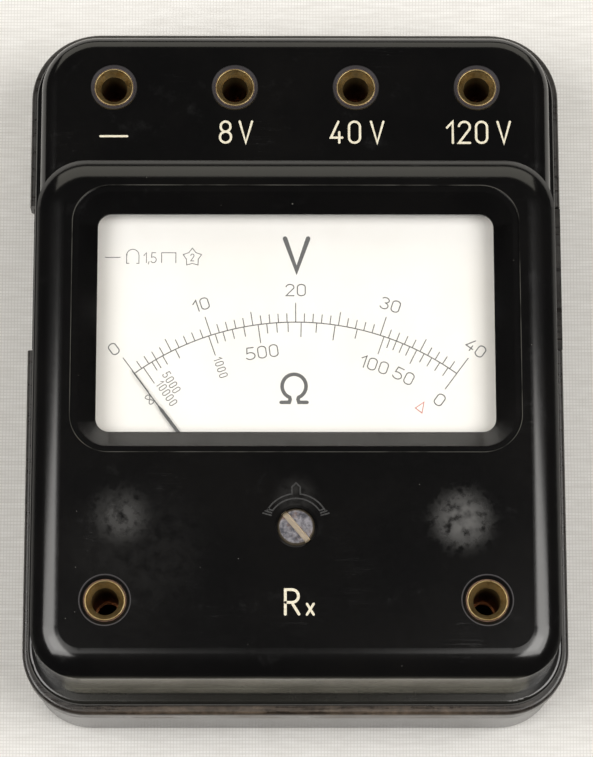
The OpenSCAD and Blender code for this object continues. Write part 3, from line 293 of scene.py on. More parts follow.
def black_phenolic():
    """Polished black moulding with rubbed patches, hairline scratches and dust, plus a painted reflection of the
    cloth on the front wall and painted highlights along the edges of the window step.
    """
    p = Paint("black_phenolic")
    cloud = p.noise(0.05, 4.0, 0.6)
    fine = p.noise(1.2, 3.0, 0.6)
    base = p.mix(p.span(cloud, 0.35, 0.7), (0.0012, 0.0011, 0.0012), (0.0028, 0.0025, 0.0024))
    hair = p.most(p.scratches(38, width=0.0022),
                  p.scratches(-52, along=0.04, width=0.002, level=0.46))
    hair = p.times(hair, p.span(p.noise(0.09, 2.0), 0.56, 0.72))
    dust = p.most(p.specks(0.24, 0.035, 0.22), p.specks(0.7, 0.05, 0.06))
    left, right = SOCKET_AT["socket_rx_left"], SOCKET_AT["socket_rx_right"]
    top = p.math("GREATER_THAN", p.xyz[2], PLATEAU_Z - 0.3)
    mottle = p.span(p.noise(0.55, 4.0, 0.55), 0.25, 0.7)
    # rubbed grey patches: centre, inner and outer radius, unevenness, strength
    patches = [
        (left[0] + 2.4, left[1] + 12.6, 1.2, 6.2, 8.0, 0.42),
        (right[0] - 3.6, right[1] + 12.2, 1.8, 5.9, 7.5, 0.78),
        (left[0] + 5, left[1] + 8, 4, 14, 6.0, 0.05),
        (ZERO_AT[0], ZERO_AT[1] + 4.4, 0.5, 4.2, 4.0, 0.22),
    ]
    rub = p.most(*[p.times(p.near(*patch), strength) for *patch, strength in patches])
    rub = p.times(p.times(rub, mottle), top)
    smear = p.times(p.span(p.noise(0.16, 5.0, 0.7), 0.58, 0.8), 0.25)
    color = p.mix(rub, base, (0.085, 0.083, 0.08))
    color = p.mix(p.times(smear, 0.5), color, (0.03, 0.03, 0.031))
    color = p.mix(p.times(hair, 0.2), color, (0.08, 0.08, 0.08))
    color = p.mix(p.times(dust, 0.55), color, (0.3, 0.29, 0.26))
    flange = p.span(p.xyz[2], SEAM_Z + 0.5, SEAM_Z - 0.8)
    worn = p.times(flange, p.span(p.noise(0.5, 5.0, 0.7), 0.4, 0.75))
    color = p.mix(p.times(worn, 0.5), color, (0.05, 0.042, 0.034))
    rough = p.plus(p.times(fine, 0.05), 0.12)
    rough = p.plus(rough, p.times(rub, 0.5))
    rough = p.plus(rough, p.times(smear, 0.35))
    rough = p.plus(rough, p.times(dust, 0.4), clamp=True)
    # thin dull ring round every socket, further out on the two resistance sockets
    rings = p.most(
        *[disc(p, n, DECK_RING_R, DECK_RING_SOFT) for n in DECK_SOCKETS],
        *[p.minus(disc(p, n, RX_RING_OUT, RX_RING_SOFT), disc(p, n, RX_RING_IN, RX_RING_SOFT))
          for n in RX_SOCKETS],
    )
    color = p.mix(p.times(rings, 0.85), color, (0.04, 0.036, 0.04))
    rough = p.plus(rough, p.times(rings, 0.4), clamp=True)
    # painted highlights along the inner and outer edges of the shallow step round the window
    d = p.rounded_box(WINDOW_MID, WINDOW_HALF, WINDOW_R)
    inner = p.span(p.math("ABSOLUTE", p.minus(d, 0.08)), 0.2, 0.06)
    outer = p.span(p.math("ABSOLUTE", p.minus(d, STEP_W)), 0.16, 0.05)
    lines = p.times(p.times(p.most(inner, outer), top), p.span(p.noise(0.16, 3.0), 0.3, 0.62))
    color = p.mix(p.times(lines, 0.8), color, (0.085, 0.083, 0.074))
    # painted reflection of the pale cloth on the front wall, fading out above the flange and below the plateau
    wall = p.times(p.span(p.xyz[1], COVER_LO[1] + 2.6, COVER_LO[1] + 2.1),
                   p.span(p.xyz[2], SEAM_Z + 1.0, SEAM_Z + 4.5))
    wall = p.times(wall, p.span(p.xyz[2], PLATEAU_Z - 1.5, PLATEAU_Z - 3.0))
    thin, thick = (0.2, 0.192, 0.156), (0.3, 0.29, 0.24)
    painted_wall_reflection = p.mix(p.span(p.noise(0.12, 4.0, 0.6), 0.3, 0.7), thin, thick)
    color = p.mix(p.times(wall, 0.8), color, painted_wall_reflection)
    height = p.plus(p.times(p.noise(0.035, 2.0), 9.0), p.times(hair, -0.4))
    normal = p.bump(height, 0.12, 0.03)
    return p.finish(color, rough, 0.0, normal, IOR=1.56)


FRONT_FADE_Y = (10.8, 1.8)  # depth behind the front wall where its grey wear starts and is full
FRONT_FADE_X = (2.0, 20.0)  # the same, inwards from the sides


def brown_phenolic(name):
    """Base moulding: near-black glossy wall under a rim worn brown, and grey in front."""
    p = Paint(name)
    grain = p.noise(0.8, 5.0, 0.7)
    blotch = p.noise(0.13, 4.0, 0.65)
    dark = p.mix(p.span(grain, 0.3, 0.75), (0.006, 0.0048, 0.004), (0.016, 0.011, 0.008))
    brown = p.mix(p.span(grain, 0.3, 0.7), (0.055, 0.036, 0.022), (0.14, 0.1, 0.066))
    grey = p.mix(p.span(grain, 0.3, 0.7), (0.012, 0.011, 0.01), (0.034, 0.031, 0.028))
    depth = p.minus(p.xyz[1], BODY_LO[1])
    inwards = p.minus(BODY_HI[0], p.math("ABSOLUTE", p.xyz[0]))
    front = p.times(p.span(depth, *FRONT_FADE_Y), p.span(inwards, *FRONT_FADE_X))
    foot_part = p.span(p.xyz[2], 4.0, 2.0)
    brown = p.mix(p.most(front, foot_part), grey, brown)
    high = p.span(p.xyz[2], RIM_Z - 0.6, RIM_Z + 0.4)
    worn = p.times(high, p.span(blotch, 0.3, 0.62))
    edge = p.span(p.xyz[2], SEAM_Z - 2.2, SEAM_Z - 1.5)
    worn = p.most(p.times(worn, 0.75), p.times(edge, 0.5))
    foot = p.times(p.span(p.xyz[2], 1.2, 0.2), p.span(blotch, 0.35, 0.7))
    worn = p.most(worn, p.times(foot, 0.5))
    streak = p.noise(1.0, 3.0, 0.6, p.stretched(0, 0.06, 1.4))
    worn = p.times(worn, p.span(streak, 0.25, 0.55))
    hair = p.times(p.scratches(20, width=0.004), 0.4)
    color = p.mix(worn, dark, brown)
    color = p.mix(hair, color, (0.12, 0.1, 0.08))
    rough = p.plus(p.times(worn, 0.3), p.times(grain, 0.12))
    rough = p.plus(rough, 0.12, clamp=True)
    height = p.plus(p.times(worn, p.noise(2.4, 4.0, 0.7)), p.times(p.noise(0.04, 2.0), 6.0))
    return p.finish(color, rough, 0.0, p.bump(height, 0.2, 0.04), IOR=1.54)


def socket_brass(node, lacquered):
    """Turned socket: bluish worn lip, golden funnel, dark bore with a coppery ring."""
    x, y, _ = SOCKET_AT[node]
    top = box_mm(node)[1][2]
    p = Paint(node + "_brass")
    r = p.radius(x, y)
    grime = p.noise(0.9, 5.0, 0.7)
    turned = p.noise(1.0, 3.0, 0.6, p.stretched(0, 1.0, 1.0))
    lip = (0.17, 0.14, 0.16) if lacquered else (0.2, 0.12, 0.09)
    gold = p.mix(p.span(grime, 0.35, 0.72), (0.26, 0.18, 0.075), (0.52, 0.41, 0.21))
    color = p.mix(p.span(r, 2.95, 3.15), gold, lip)
    deep = p.span(p.xyz[2], top - 1.4, top - 6.5)
    color = p.mix(deep, color, (0.12, 0.066, 0.024))
    end = p.span(p.xyz[2], top - 7.0, top - 10.0)
    color = p.mix(p.times(end, 0.8), color, (0.34, 0.14, 0.06))
    dirt = p.times(p.span(grime, 0.45, 0.72), 0.6)
    color = p.mix(dirt, color, (0.05, 0.035, 0.022))
    rough = p.plus(p.times(grime, 0.3), 0.24)
    ring = p.math("SINE", p.times(r, 26.0))
    normal = p.bump(p.plus(ring, turned), 0.12, 0.02)
    return p.finish(color, rough, 0.92, normal)


def metal(name, light, dark, rough=0.3, metallic=1.0, scale=0.5, grain=0):
    """Plated, tarnished or turned metal: two tones, grime in patches, brushed grain."""
    p = Paint(name)
    patch = p.noise(scale, 5.0, 0.65)
    brush = p.noise(1.0, 3.0, 0.6, p.stretched(grain, 0.15, 3.0))
    color = p.mix(p.span(patch, 0.32, 0.7), dark, light)
    r = p.plus(p.times(patch, -0.15), p.times(brush, 0.2))
    r = p.plus(r, rough, clamp=True)
    return p.finish(color, r, metallic, p.bump(brush, 0.15, 0.02))


def screw_head():
    """Zero adjuster: mottled blue and brown tarnish with a brighter slot and edge."""
    p = Paint("tarnished_screw")
    x, y, _ = ZERO_AT
    top = box_mm("zero_screw")[1][2]
    patch = p.noise(1.1, 6.0, 0.7)
    tint = p.noise(0.7, 4.0, 0.6)
    color = p.mix(p.span(patch, 0.35, 0.65), (0.085, 0.085, 0.1), (0.28, 0.27, 0.29))
    color = p.mix(p.times(p.span(tint, 0.5, 0.72), 0.8), color, (0.16, 0.08, 0.045))
    slot = p.span(p.xyz[2], top - 0.5, top - 0.85)
    color = p.mix(slot, color, (0.5, 0.42, 0.32))
    edge = p.span(p.radius(x, y), 2.35, 2.7)
    color = p.mix(p.times(edge, 0.8), color, (0.3, 0.24, 0.15))
    rough = p.plus(p.times(patch, 0.3), 0.25)
    return p.finish(color, rough, 0.85, p.bump(patch, 0.3, 0.05))


def plain_surface(name, light, dark, rough, bump=0.1, scale=0.6, metallic=0.0, **fixed):
    """Painted, varnished or moulded surface with mottling and a fine relief."""
    p = Paint(name)
    patch = p.noise(scale, 4.0, 0.6)
    fine = p.noise(scale * 6, 4.0, 0.65)
    color = p.mix(p.span(patch, 0.3, 0.7), dark, light)
    r = p.plus(p.times(fine, 0.14), rough - 0.07, clamp=True)
    return p.finish(color, r, metallic, p.bump(fine, bump, 0.03), **fixed)


def dial_enamel():
    """Matt white enamel, slightly warm towards its edges, with a few specks."""
    lo, hi = box_mm("dial_plate")
    p = Paint("dial_white")
    patch = p.noise(0.07, 4.0, 0.6)
    fine = p.noise(2.5, 4.0, 0.6)
    dx = p.math("ABSOLUTE", p.minus(p.xyz[0], (lo[0] + hi[0]) / 2))
    edge = p.span(dx, (hi[0] - lo[0]) * 0.38, (hi[0] - lo[0]) * 0.47)
    color = p.mix(p.span(patch, 0.3, 0.75), (0.9, 0.885, 0.855), (0.86, 0.84, 0.8))
    color = p.mix(p.times(edge, 0.5), color, (0.78, 0.74, 0.68))
    speck = p.specks(0.35, 0.02, 0.12)
    color = p.mix(p.times(speck, 0.4), color, (0.3, 0.27, 0.22))
    rough = p.plus(p.times(fine, 0.1), 0.5)
    return p.finish(color, rough, 0.0, p.bump(fine, 0.05, 0.02))


def glass():
    """Clear window glass: nearly invisible, with a soft gloss and faint smears."""
    p = Paint("window_glass")
    smear = p.noise(0.1, 5.0, 0.7, distort=0.6)
    rough = p.plus(p.times(p.span(smear, 0.5, 0.8), 0.12), 0.04)
    p.mat.blend_method = "BLEND"
    color = p.mix(smear, (0.9, 0.93, 0.93), (0.96, 0.97, 0.97))
    return p.finish(color, rough, 0.0, Alpha=0.05, IOR=1.5)


def cell_jacket():
    """Printed jacket of the cell, with bare zinc at both ends."""
    lo, hi = box_mm("battery_cell")
    p = Paint("cell_jacket")
    patch = p.noise(0.25, 4.0, 0.6)
    x = p.xyz[0]
    soft = 0.3
    band_from, band_to = lo[0] + 14.0, lo[0] + 32.0
    jacket_from, jacket_to = lo[0] + 1.2, hi[0] - 1.9
    body = p.mix(p.span(patch, 0.3, 0.7), (0.22, 0.02, 0.014), (0.3, 0.035, 0.02))
    band = p.times(p.span(x, band_from, band_from + soft), p.span(x, band_to, band_to - soft))
    body = p.mix(band, body, (0.5, 0.42, 0.25))
    zinc = p.most(p.span(x, jacket_from, jacket_from - soft),
                  p.span(x, jacket_to, jacket_to + soft))
    color = p.mix(zinc, body, (0.45, 0.44, 0.42))
    return p.finish(color, p.plus(p.times(patch, 0.2), 0.25), zinc,
                    p.bump(patch, 0.1, 0.05))


def windings(name, axis, pitch, tone):
    """Enamelled wire laid in turns along an axis."""
    p = Paint(name)
    turn = p.math("SINE", p.times(p.xyz[axis], 2 * math.pi / pitch))
    patch = p.noise(0.4, 4.0, 0.6)
    dark = tuple(c * 0.45 for c in tone)
    color = p.mix(p.span(turn, -0.6, 0.7), dark, tone)
    color = p.mix(p.times(p.span(patch, 0.4, 0.7), 0.4), color, dark)
    return p.finish(color, p.plus(p.times(patch, 0.2), 0.25), 0.75,
                    p.bump(turn, 0.5, 0.05))


M_COVER = black_phenolic()
M_BASE = brown_phenolic("brown_phenolic")
M_DRAWER = brown_phenolic("drawer_phenolic")
M_STEEL = metal("plated_steel", (0.6, 0.58, 0.55), (0.32, 0.3, 0.27), 0.32)
M_BRASS = metal("worn_brass", (0.62, 0.46, 0.2), (0.28, 0.18, 0.07), 0.3)
M_BRONZE = metal("hairspring_bronze", (0.66, 0.42, 0.17), (0.4, 0.22, 0.08), 0.25)
M_TINNED = metal("tinned_copper", (0.7, 0.68, 0.62), (0.4, 0.36, 0.3), 0.3)
M_MAGNET = metal("magnet_steel", (0.16, 0.16, 0.165), (0.06, 0.058, 0.055), 0.45, 0.7, 0.3)
M_ALU = metal("coil_frame", (0.78, 0.78, 0.8), (0.55, 0.55, 0.56), 0.3)
M_BOARD = plain_surface("paper_board", (0.3, 0.15, 0.055), (0.2, 0.095, 0.035), 0.4, 0.2)
M_WIRE = plain_surface("red_wire", (0.5, 0.06, 0.035), (0.35, 0.035, 0.02), 0.45)
M_FELT = plain_surface("gasket_felt", (0.05, 0.05, 0.05), (0.02, 0.02, 0.02), 0.85, 0.5, 2.0)
M_POINTER = plain_surface("pointer_black", (0.012, 0.012, 0.013), (0.006, 0.006, 0.006), 0.5)
M_CREAM = plain_surface("engraving_cream", (0.8, 0.76, 0.62), (0.62, 0.56, 0.42), 0.6, 0.3, 2.5)
M_RED = plain_surface("print_red", (0.62, 0.1, 0.06), (0.5, 0.08, 0.05), 0.6)
M_INK = plain_surface("print_grey", (0.085, 0.085, 0.085), (0.05, 0.05, 0.05), 0.6, 0.1, 1.5)
M_INK_BOLD = plain_surface("print_dark", (0.045,) * 3, (0.03,) * 3, 0.6, 0.1, 1.5)
M_RELIEF = plain_surface("relief_worn", (0.02,) * 3, (0.003,) * 3, 0.5, 0.5, 3.0)

SLOT_MATERIAL = {
    "plated_steel": M_STEEL,
    "worn_brass": M_BRASS,
    "hairspring_bronze": M_BRONZE,
    "tinned_copper": M_TINNED,
    "magnet_steel": M_MAGNET,
    "coil_frame": M_ALU,
    "paper_board": M_BOARD,
    "red_wire": M_WIRE,
    "gasket_felt": M_FELT,
    "pointer_black": M_POINTER,
    "black_phenolic": M_COVER,
    "brown_phenolic": M_BASE,
    "dial_white": dial_enamel(),
    "window_glass": glass(),
    "tarnished_screw": screw_head(),
    "cell_jacket": cell_jacket(),
}
NODE_MATERIAL = {n: socket_brass(n, True) for n in DECK_SOCKETS}
NODE_MATERIAL.update({n: socket_brass(n, False) for n in RX_SOCKETS})
NODE_MATERIAL["battery_drawer"] = M_DRAWER
NODE_MATERIAL["coil_winding"] = windings("coil_turns", 2, 0.25, (0.5, 0.18, 0.07))
NODE_MATERIAL["ohm_resistors"] = windings("ohm_turns", 0, 0.3, (0.45, 0.2, 0.08))
NODE_MATERIAL["multiplier_resistors"] = windings("multiplier_turns", 1, 0.3, (0.4, 0.26, 0.09))

for entry in record["subparts"]:
    name, slot = entry["node"], entry["material_slot"]
    mesh = nodes[name].data
    mesh.materials.clear()
    mesh.materials.append(NODE_MATERIAL.get(name) or SLOT_MATERIAL[slot])


# ---------------------------------------------------------------- strokes
def arc(cx, cy, r, a0, a1, n=14, ry=None):
    """Points of an arc, in degrees; ry gives an ellipse."""
    ry = r if ry is None else ry
    steps = [a0 + (a1 - a0) * i / n for i in range(n + 1)]
    return [(cx + r * math.cos(math.radians(a)), cy + ry * math.sin(math.radians(a)))
            for a in steps]


def oval(w, h):
    """Closed outline with straight sides and round ends."""
    r = w / 2
    pts = arc(r, h - r, r, 0, 180, 12) + arc(r, r, r, 180, 360, 12)
    return pts + [pts[0]]


# Single-line letters, one unit high: (width, strokes). Closed strokes repeat their first point.
GLYPHS = {
    "0": (0.5, [oval(0.5, 1.0)]),
    "1": (0.26, [[(0.0, 0.72), (0.26, 1.0), (0.26, 0.0)]]),
    "2": (0.5, [arc(0.25, 0.75, 0.25, 170, -25, 12) + [(0.0, 0.0), (0.5, 0.0)]]),
    "3": (0.5, [arc(0.24, 0.76, 0.235, 150, -80, 12), arc(0.24, 0.265, 0.265, 85, -150, 14)]),
    "4": (0.52, [[(0.34, 1.0), (0.0, 0.24), (0.52, 0.24)], [(0.38, 0.5), (0.38, 0.0)]]),
    "5": (0.5, [[(0.47, 1.0), (0.08, 1.0), (0.04, 0.54)] + arc(0.23, 0.3, 0.29, 118, -150, 14)]),
    "8": (0.5, [oval(0.5, 0.52), [(x * 0.88 + 0.03, y * 0.92 + 0.52) for x, y in oval(0.5, 0.52)]]),
    "V": (0.56, [[(0.0, 1.0), (0.28, 0.0), (0.56, 1.0)]]),
    "R": (0.55, [[(0.0, 0.0), (0.0, 1.0)] + arc(0.27, 0.74, 0.26, 90, -90, 10) + [(0.0, 0.48)],
                 [(0.26, 0.48), (0.55, 0.0)]]),
    "x": (0.62, [[(0.0, 0.0), (0.62, 1.0)], [(0.0, 1.0), (0.62, 0.0)]]),
    "-": (1.0, [[(0.0, 0.5), (1.0, 0.5)]]),
    ",": (0.1, [[(0.08, 0.1), (0.0, -0.14)]]),
    "ohm": (0.86, [[(0.0, 0.03), (0.27, 0.03), (0.3, 0.13)]
                   + arc(0.43, 0.58, 0.4, 248, -68, 24, 0.41)
                   + [(0.56, 0.13), (0.59, 0.03), (0.86, 0.03)]]),
    "inf": (1.9, [[(0.95 + 0.95 * math.sin(2 * math.pi * i / 28),
                    0.5 + 0.5 * math.sin(4 * math.pi * i / 28)) for i in range(29)]]),
}
SPACE_W = 0.2


def layout(chars, height, gap=0.22, widen=1.0):
    """Strokes of a line of glyphs, centred on the origin, in millimetres."""
    strokes, x = [], 0.0
    for c in chars:
        if c == " ":
            x += SPACE_W
            continue
        w, lines = GLYPHS[c]
        strokes += [[((px * widen + x) * height, py * height) for px, py in l] for l in lines]
        x += w * widen + gap
    total = (x - gap) * height
    return [[(px - total / 2, py - height / 2) for px, py in l] for l in strokes]


def placed(strokes, x, y, turn=0.0):
    """Strokes turned by some degrees and then moved."""
    c, s = math.cos(math.radians(turn)), math.sin(math.radians(turn))
    return [[(x + c * px - s * py, y + s * px + c * py) for px, py in l] for l in strokes]


TINY = 1e-6
CAP_STEPS = 5  # faces round the end of a stroke
MIN_COS, MAX_MITRE = 0.35, 2.2  # limits on the mitre of a sharp bend


def ribbon(verts, faces, line, width, z, h):
    """Adds one closed flat bar that follows a line, mitred at bends, round at its ends."""
    closed = math.dist(line[0], line[-1]) < TINY and len(line) > 3
    pts = [Vector((x, y)) for x, y in (line[:-1] if closed else line)]
    n = len(pts)
    left, right = [], []
    for i, p in enumerate(pts):
        a = pts[i - 1] if (i or closed) else None
        b = pts[(i + 1) % n] if (i < n - 1 or closed) else None
        d0 = (p - a).normalized() if a is not None else (b - p).normalized()
        d1 = (b - p).normalized() if b is not None else d0
        t = (d0 + d1).normalized() if (d0 + d1).length > TINY else d0
        side = Vector((-t.y, t.x))
        m = min(1.0 / max(side.dot(Vector((-d0.y, d0.x))), MIN_COS), MAX_MITRE)
        left.append(p + side * width / 2 * m)
        right.append(p - side * width / 2 * m)
    if not closed:
        d = (pts[1] - pts[0]).normalized()
        e = (pts[-1] - pts[-2]).normalized()
        turns = [Matrix.Rotation(math.pi * k / CAP_STEPS, 2) for k in range(1, CAP_STEPS)]
        start = [pts[0] + turn @ Vector((-d.y, d.x)) * width / 2 for turn in turns]
        end = [pts[-1] + turn @ Vector((e.y, -e.x)) * width / 2 for turn in turns]
        outline = left[::-1] + start + right + end
    base = len(verts)
    if closed:
        for zz in (z, z + h):
            verts.extend((v.x * MM, v.y * MM, zz * MM) for v in left + right)
        for i in range(n):
            j = (i + 1) % n
            a, b, c, d = base + i, base + j, base + n + j, base + n + i
            up = 2 * n
            faces += [(a, b, c, d), (a + up, d + up, c + up, b + up),
                      (a, a + up, b + up, b), (d, c, c + up, d + up)]
        return
    m = len(outline)
    for zz in (z, z + h):
        verts.extend((v.x * MM, v.y * MM, zz * MM) for v in outline)
    # quads along the bar and one face at each round end, below and above
    lid = []
    right_0 = n + CAP_STEPS - 1
    for k in range(n - 1):
        lid.append((n - 1 - k, n - 2 - k, right_0 + k + 1, right_0 + k))
    lid.append(tuple(range(n - 1, right_0 + 1)))
    lid.append((*range(right_0 + n - 1, m), 0))
    faces += [tuple(base + i for i in f) for f in lid]
    faces += [tuple(base + m + i for i in reversed(f)) for f in lid]
    for i in range(m):
        j = (i + 1) % m
        faces.append((base + i, base + m + i, base + m + j, base + j))


STROKE_LIFT = 0.003


def marks(name, groups, z, h, material, body):
    """One piece made of flat strokes: groups is a list of (strokes, width)."""
    verts, faces = [], []
    for strokes, width in groups:
        for k, line in enumerate(strokes):
            # crossing strokes lie at slightly different heights
            ribbon(verts, faces, line, width, z + STROKE_LIFT * (k % 3), h)
    mesh = bpy.data.meshes.new(name)
    mesh.from_pydata(verts, [], faces)
    mesh.validate()
    bm = bmesh.new()
    bm.from_mesh(mesh)
    bmesh.ops.recalc_face_normals(bm, faces=bm.faces)
    bm.to_mesh(mesh)
    bm.free()
    obj = bpy.data.objects.new(name, mesh)
    bpy.context.scene.collection.objects.link(obj)
    mesh.materials.append(material)
    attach(obj, body)
    return obj


# ---------------------------------------------------------------- dial print
SCALE_R = 41.6
HALF_SWEEP = 36.4
FULL_SCALE = 40
OHM_MIDDLE = 320.0
INK_H = 0.02
LINE_W = 0.15
BOLD_W = 0.17


def on_dial(r, turn):
    """Point on the dial at a radius from the pointer axis, turn degrees right of the middle."""
    a = math.radians(turn)
    return (PIVOT[0] + r * math.sin(a), PIVOT[1] + r * math.cos(a))


def volt_turn(v):
    """Turn of a voltage: the scale is even."""
    return -HALF_SWEEP + 2 * HALF_SWEEP * v / FULL_SCALE


def ohm_turn(r):
    """Turn of a resistance: 0 at the right end, OHM_MIDDLE in the middle."""
    return -HALF_SWEEP + 2 * HALF_SWEEP * OHM_MIDDLE / (OHM_MIDDLE + r)


def tick(turn, r0, r1):
    """Line from one radius to another."""
    return [on_dial(r0, turn), on_dial(r1, turn)]


SCALE_STEPS = 90
scale_line = [on_dial(SCALE_R, -HALF_SWEEP + 2 * HALF_SWEEP * i / SCALE_STEPS)
              for i in range(SCALE_STEPS + 1)]
TEN_TICK, FIVE_TICK, UNIT_TICK = 3.0, 2.1, 1.35
volt_ticks = []
for v in range(FULL_SCALE + 1):
    out = TEN_TICK if v % 10 == 0 else FIVE_TICK if v % 5 == 0 else UNIT_TICK
    volt_ticks.append(tick(volt_turn(v), SCALE_R, SCALE_R + out))
SHORT_OHM, END_OHM = 1.5, 3.6
LONG_OHMS = {0: 3.0, 50: 2.4, 100: 2.9, 200: 2.4, 300: 2.3, 500: 2.9, 1000: 3.2, 10000: 3.0}
ohm_values = list(range(0, 100, 10)) + list(range(100, 500, 50)) + list(range(500, 1000, 100))
ohm_values += [1000, 2000, 3000, 4000, 5000, 10000]
ohm_ticks = []
for v in ohm_values:
    ohm_ticks.append(tick(ohm_turn(v), SCALE_R, SCALE_R - LONG_OHMS.get(v, SHORT_OHM)))
ohm_ticks.append(tick(-HALF_SWEEP, SCALE_R, SCALE_R - END_OHM))

# Numbers on the dial: value, radius of its middle, degrees added to the value's turn
VOLT_NUMBERS = [(0, 46.6, -0.4), (10, 46.7, 0), (20, 46.7, 0), (30, 46.7, 0), (40, 46.6, 0)]
OHM_NUMBERS = [(500, 37.2, 0), (100, 36.9, 0), (50, 37.0, 0), (0, 36.7, 0.5)]
SIDEWAYS_NUMBERS = [(1000, 36.3, 0.3), (5000, 37.3, 1.35), (10000, 36.2, 1.1)]
# Height of the digits, gap between them and how much wider they are than the plain glyphs
VOLT_DIGITS = (1.8, 0.3, 1.35)
OHM_DIGITS = (1.85, 0.3, 1.35)
SIDEWAYS_DIGITS = (1.25, 0.34, 0.85)
INFINITY_H, INFINITY_R, INFINITY_SHIFT = 0.8, 36.9, -0.9
digits = []
for v, r, shift in VOLT_NUMBERS:
    x, y = on_dial(r, volt_turn(v) + shift)
    digits += placed(layout(str(v), *VOLT_DIGITS), x, y, -volt_turn(v))
for v, r, shift in OHM_NUMBERS:
    x, y = on_dial(r, ohm_turn(v) + shift)
    digits += placed(layout(str(v), *OHM_DIGITS), x, y, -ohm_turn(v))
small = []
for v, r, shift in SIDEWAYS_NUMBERS:
    x, y = on_dial(r, ohm_turn(v) + shift)
    small += placed(layout(str(v), *SIDEWAYS_DIGITS), x, y, -90 - ohm_turn(v))
x, y = on_dial(INFINITY_R, INFINITY_SHIFT - HALF_SWEEP)
small += placed(layout(["inf"], INFINITY_H), x, y, 90 + HALF_SWEEP)


def dial_print(name, groups, material=M_INK):
    """Marks printed on the dial."""
    marks(name, groups, DIAL_Z, INK_H, material, "case")


dial_print("dial_scale_lines", [([scale_line], BOLD_W), (volt_ticks + ohm_ticks, LINE_W)])
dial_print("dial_numbers", [(digits, BOLD_W), (small, 0.13)])
volt = placed(layout("V", 5.1, widen=1.25), 0.15, 15.2)
ohm = placed(layout(["ohm"], 4.6), -0.25, -6.1)
dial_print("dial_volt_letter", [(volt, 0.72)], M_INK_BOLD)
dial_print("dial_ohm_letter", [(ohm, 0.56)], M_INK_BOLD)

# Row of standard instrument symbols: direct current, moving coil, class, lie flat, test star
ROW_Y = 14.7
DASH_X0, DASH_X1 = -29.4, -27.1
COIL_X, COIL_R, COIL_FOOT = -25.15, 0.95, 0.35
CLASS_X = -22.5
BRACKET = (-20.7, -0.85, -18.5, 0.75)
STAR_X, STAR_IN, STAR_OUT, STAR_POINTS = -15.95, 0.95, 1.5, 5

symbols = [[(DASH_X0, ROW_Y), (DASH_X1, ROW_Y)]]
coil_left, coil_right, coil_low = COIL_X - COIL_R, COIL_X + COIL_R, ROW_Y - COIL_R
symbols.append([(coil_left, coil_low), (coil_left, ROW_Y + COIL_FOOT)]
               + arc(COIL_X, ROW_Y + COIL_FOOT, COIL_R, 180, 0, 10) + [(coil_right, coil_low)])
symbols.append([(coil_left, coil_low), (coil_left + COIL_FOOT, coil_low)])
symbols.append([(coil_right, coil_low), (coil_right - COIL_FOOT, coil_low)])
symbols += placed(layout("1,5", 1.6, 0.18, 0.95), CLASS_X, ROW_Y - 0.05)
x0, y0, x1, y1 = BRACKET
symbols.append([(x0, ROW_Y + y0), (x0, ROW_Y + y1), (x1, ROW_Y + y1), (x1, ROW_Y + y0)])
star = []
for k in range(2 * STAR_POINTS + 1):
    r = STAR_OUT if k % 2 == 0 else STAR_IN
    a = math.radians(90 + 180 / STAR_POINTS * k)
    star.append((STAR_X + r * math.cos(a), ROW_Y + r * math.sin(a)))
symbols.append(star)
symbols += placed(layout("2", 1.1, widen=0.9), STAR_X, ROW_Y)
dial_print("dial_symbols", [(symbols, 0.12)])

triangle = [on_dial(35.0, 34.1), on_dial(33.5, 33.1), on_dial(33.4, 35.3)]
dial_print("dial_red_mark", [([triangle + [triangle[0]]], 0.13)], M_RED)

# ---------------------------------------------------------------- engraved letters
ENGRAVED_H = 0.02
SUNK = 0.01  # depth of a label's underside below the surface
CAP_H = 3.45
STROKE_W = 0.36
LABEL_Y = SOCKET_AT["socket_8v"][1] - 7.5
RX_Y = SOCKET_AT["socket_rx_left"][1]


def label(name, chars, x, y, z, height, width, gap=0.28):
    """One engraved and filled label, centred on a point."""
    marks(name, [(placed(layout(chars, height, gap), x, y), width)],
          z - SUNK, ENGRAVED_H, M_CREAM, "case")


# Labels in front of the deck sockets: name, text, socket, shift to the right, gap between glyphs
RANGE_LABELS = [
    ("label_8v", "8 V", "socket_8v", 0.2, 0.19),
    ("label_40v", "40 V", "socket_40v", 0.15, 0.3),
    ("label_120v", "120 V", "socket_120v", 0.15, 0.28),
]
label("label_minus", "-", SOCKET_AT["socket_common"][0] + 0.1, LABEL_Y - 0.7, DECK_Z, 4.2, 0.34)
for name, chars, socket, shift, gap in RANGE_LABELS:
    label(name, chars, SOCKET_AT[socket][0] + shift, LABEL_Y, DECK_Z, CAP_H, STROKE_W, gap)
label("label_r", "R", -0.6, RX_Y - 0.3, PLATEAU_Z, 3.7, 0.42)
label("label_x", "x", 2.1, RX_Y - 1.4, PLATEAU_Z, 1.6, 0.36)

# Faint moulded mark over the zero adjuster: a double arc with an arrow head and end strokes
RELIEF_H = 0.03
ARC_IN, ARC_OUT = 4.25, 4.95
ARROW_HALF, ARROW_FOOT, ARROW_SHOULDER, ARROW_TIP = 0.62, 4.9, 6.0, 6.6
END_STROKES = (24, 29, 34)  # degrees above the horizontal, on either side
zx, zy, _ = ZERO_AT
relief = [arc(zx, zy, ARC_IN, 146, 34, 20)]
relief += [arc(zx, zy, ARC_OUT, 150, 98, 12), arc(zx, zy, ARC_OUT, 82, 30, 12)]
for s in (-1, 1):
    side_x = zx + s * ARROW_HALF
    relief.append([(side_x, zy + ARROW_FOOT), (side_x, zy + ARROW_SHOULDER), (zx, zy + ARROW_TIP)])
for s in (-1, 1):
    for k, a in enumerate(END_STROKES):
        t = math.radians(90 - s * (90 - a))
        r0, r1 = 4.1 + 0.1 * k, 5.4 - 0.15 * k
        relief.append([(zx + r0 * math.cos(t), zy + r0 * math.sin(t)),
                       (zx + r1 * math.cos(t), zy + r1 * math.sin(t) - 0.2)])
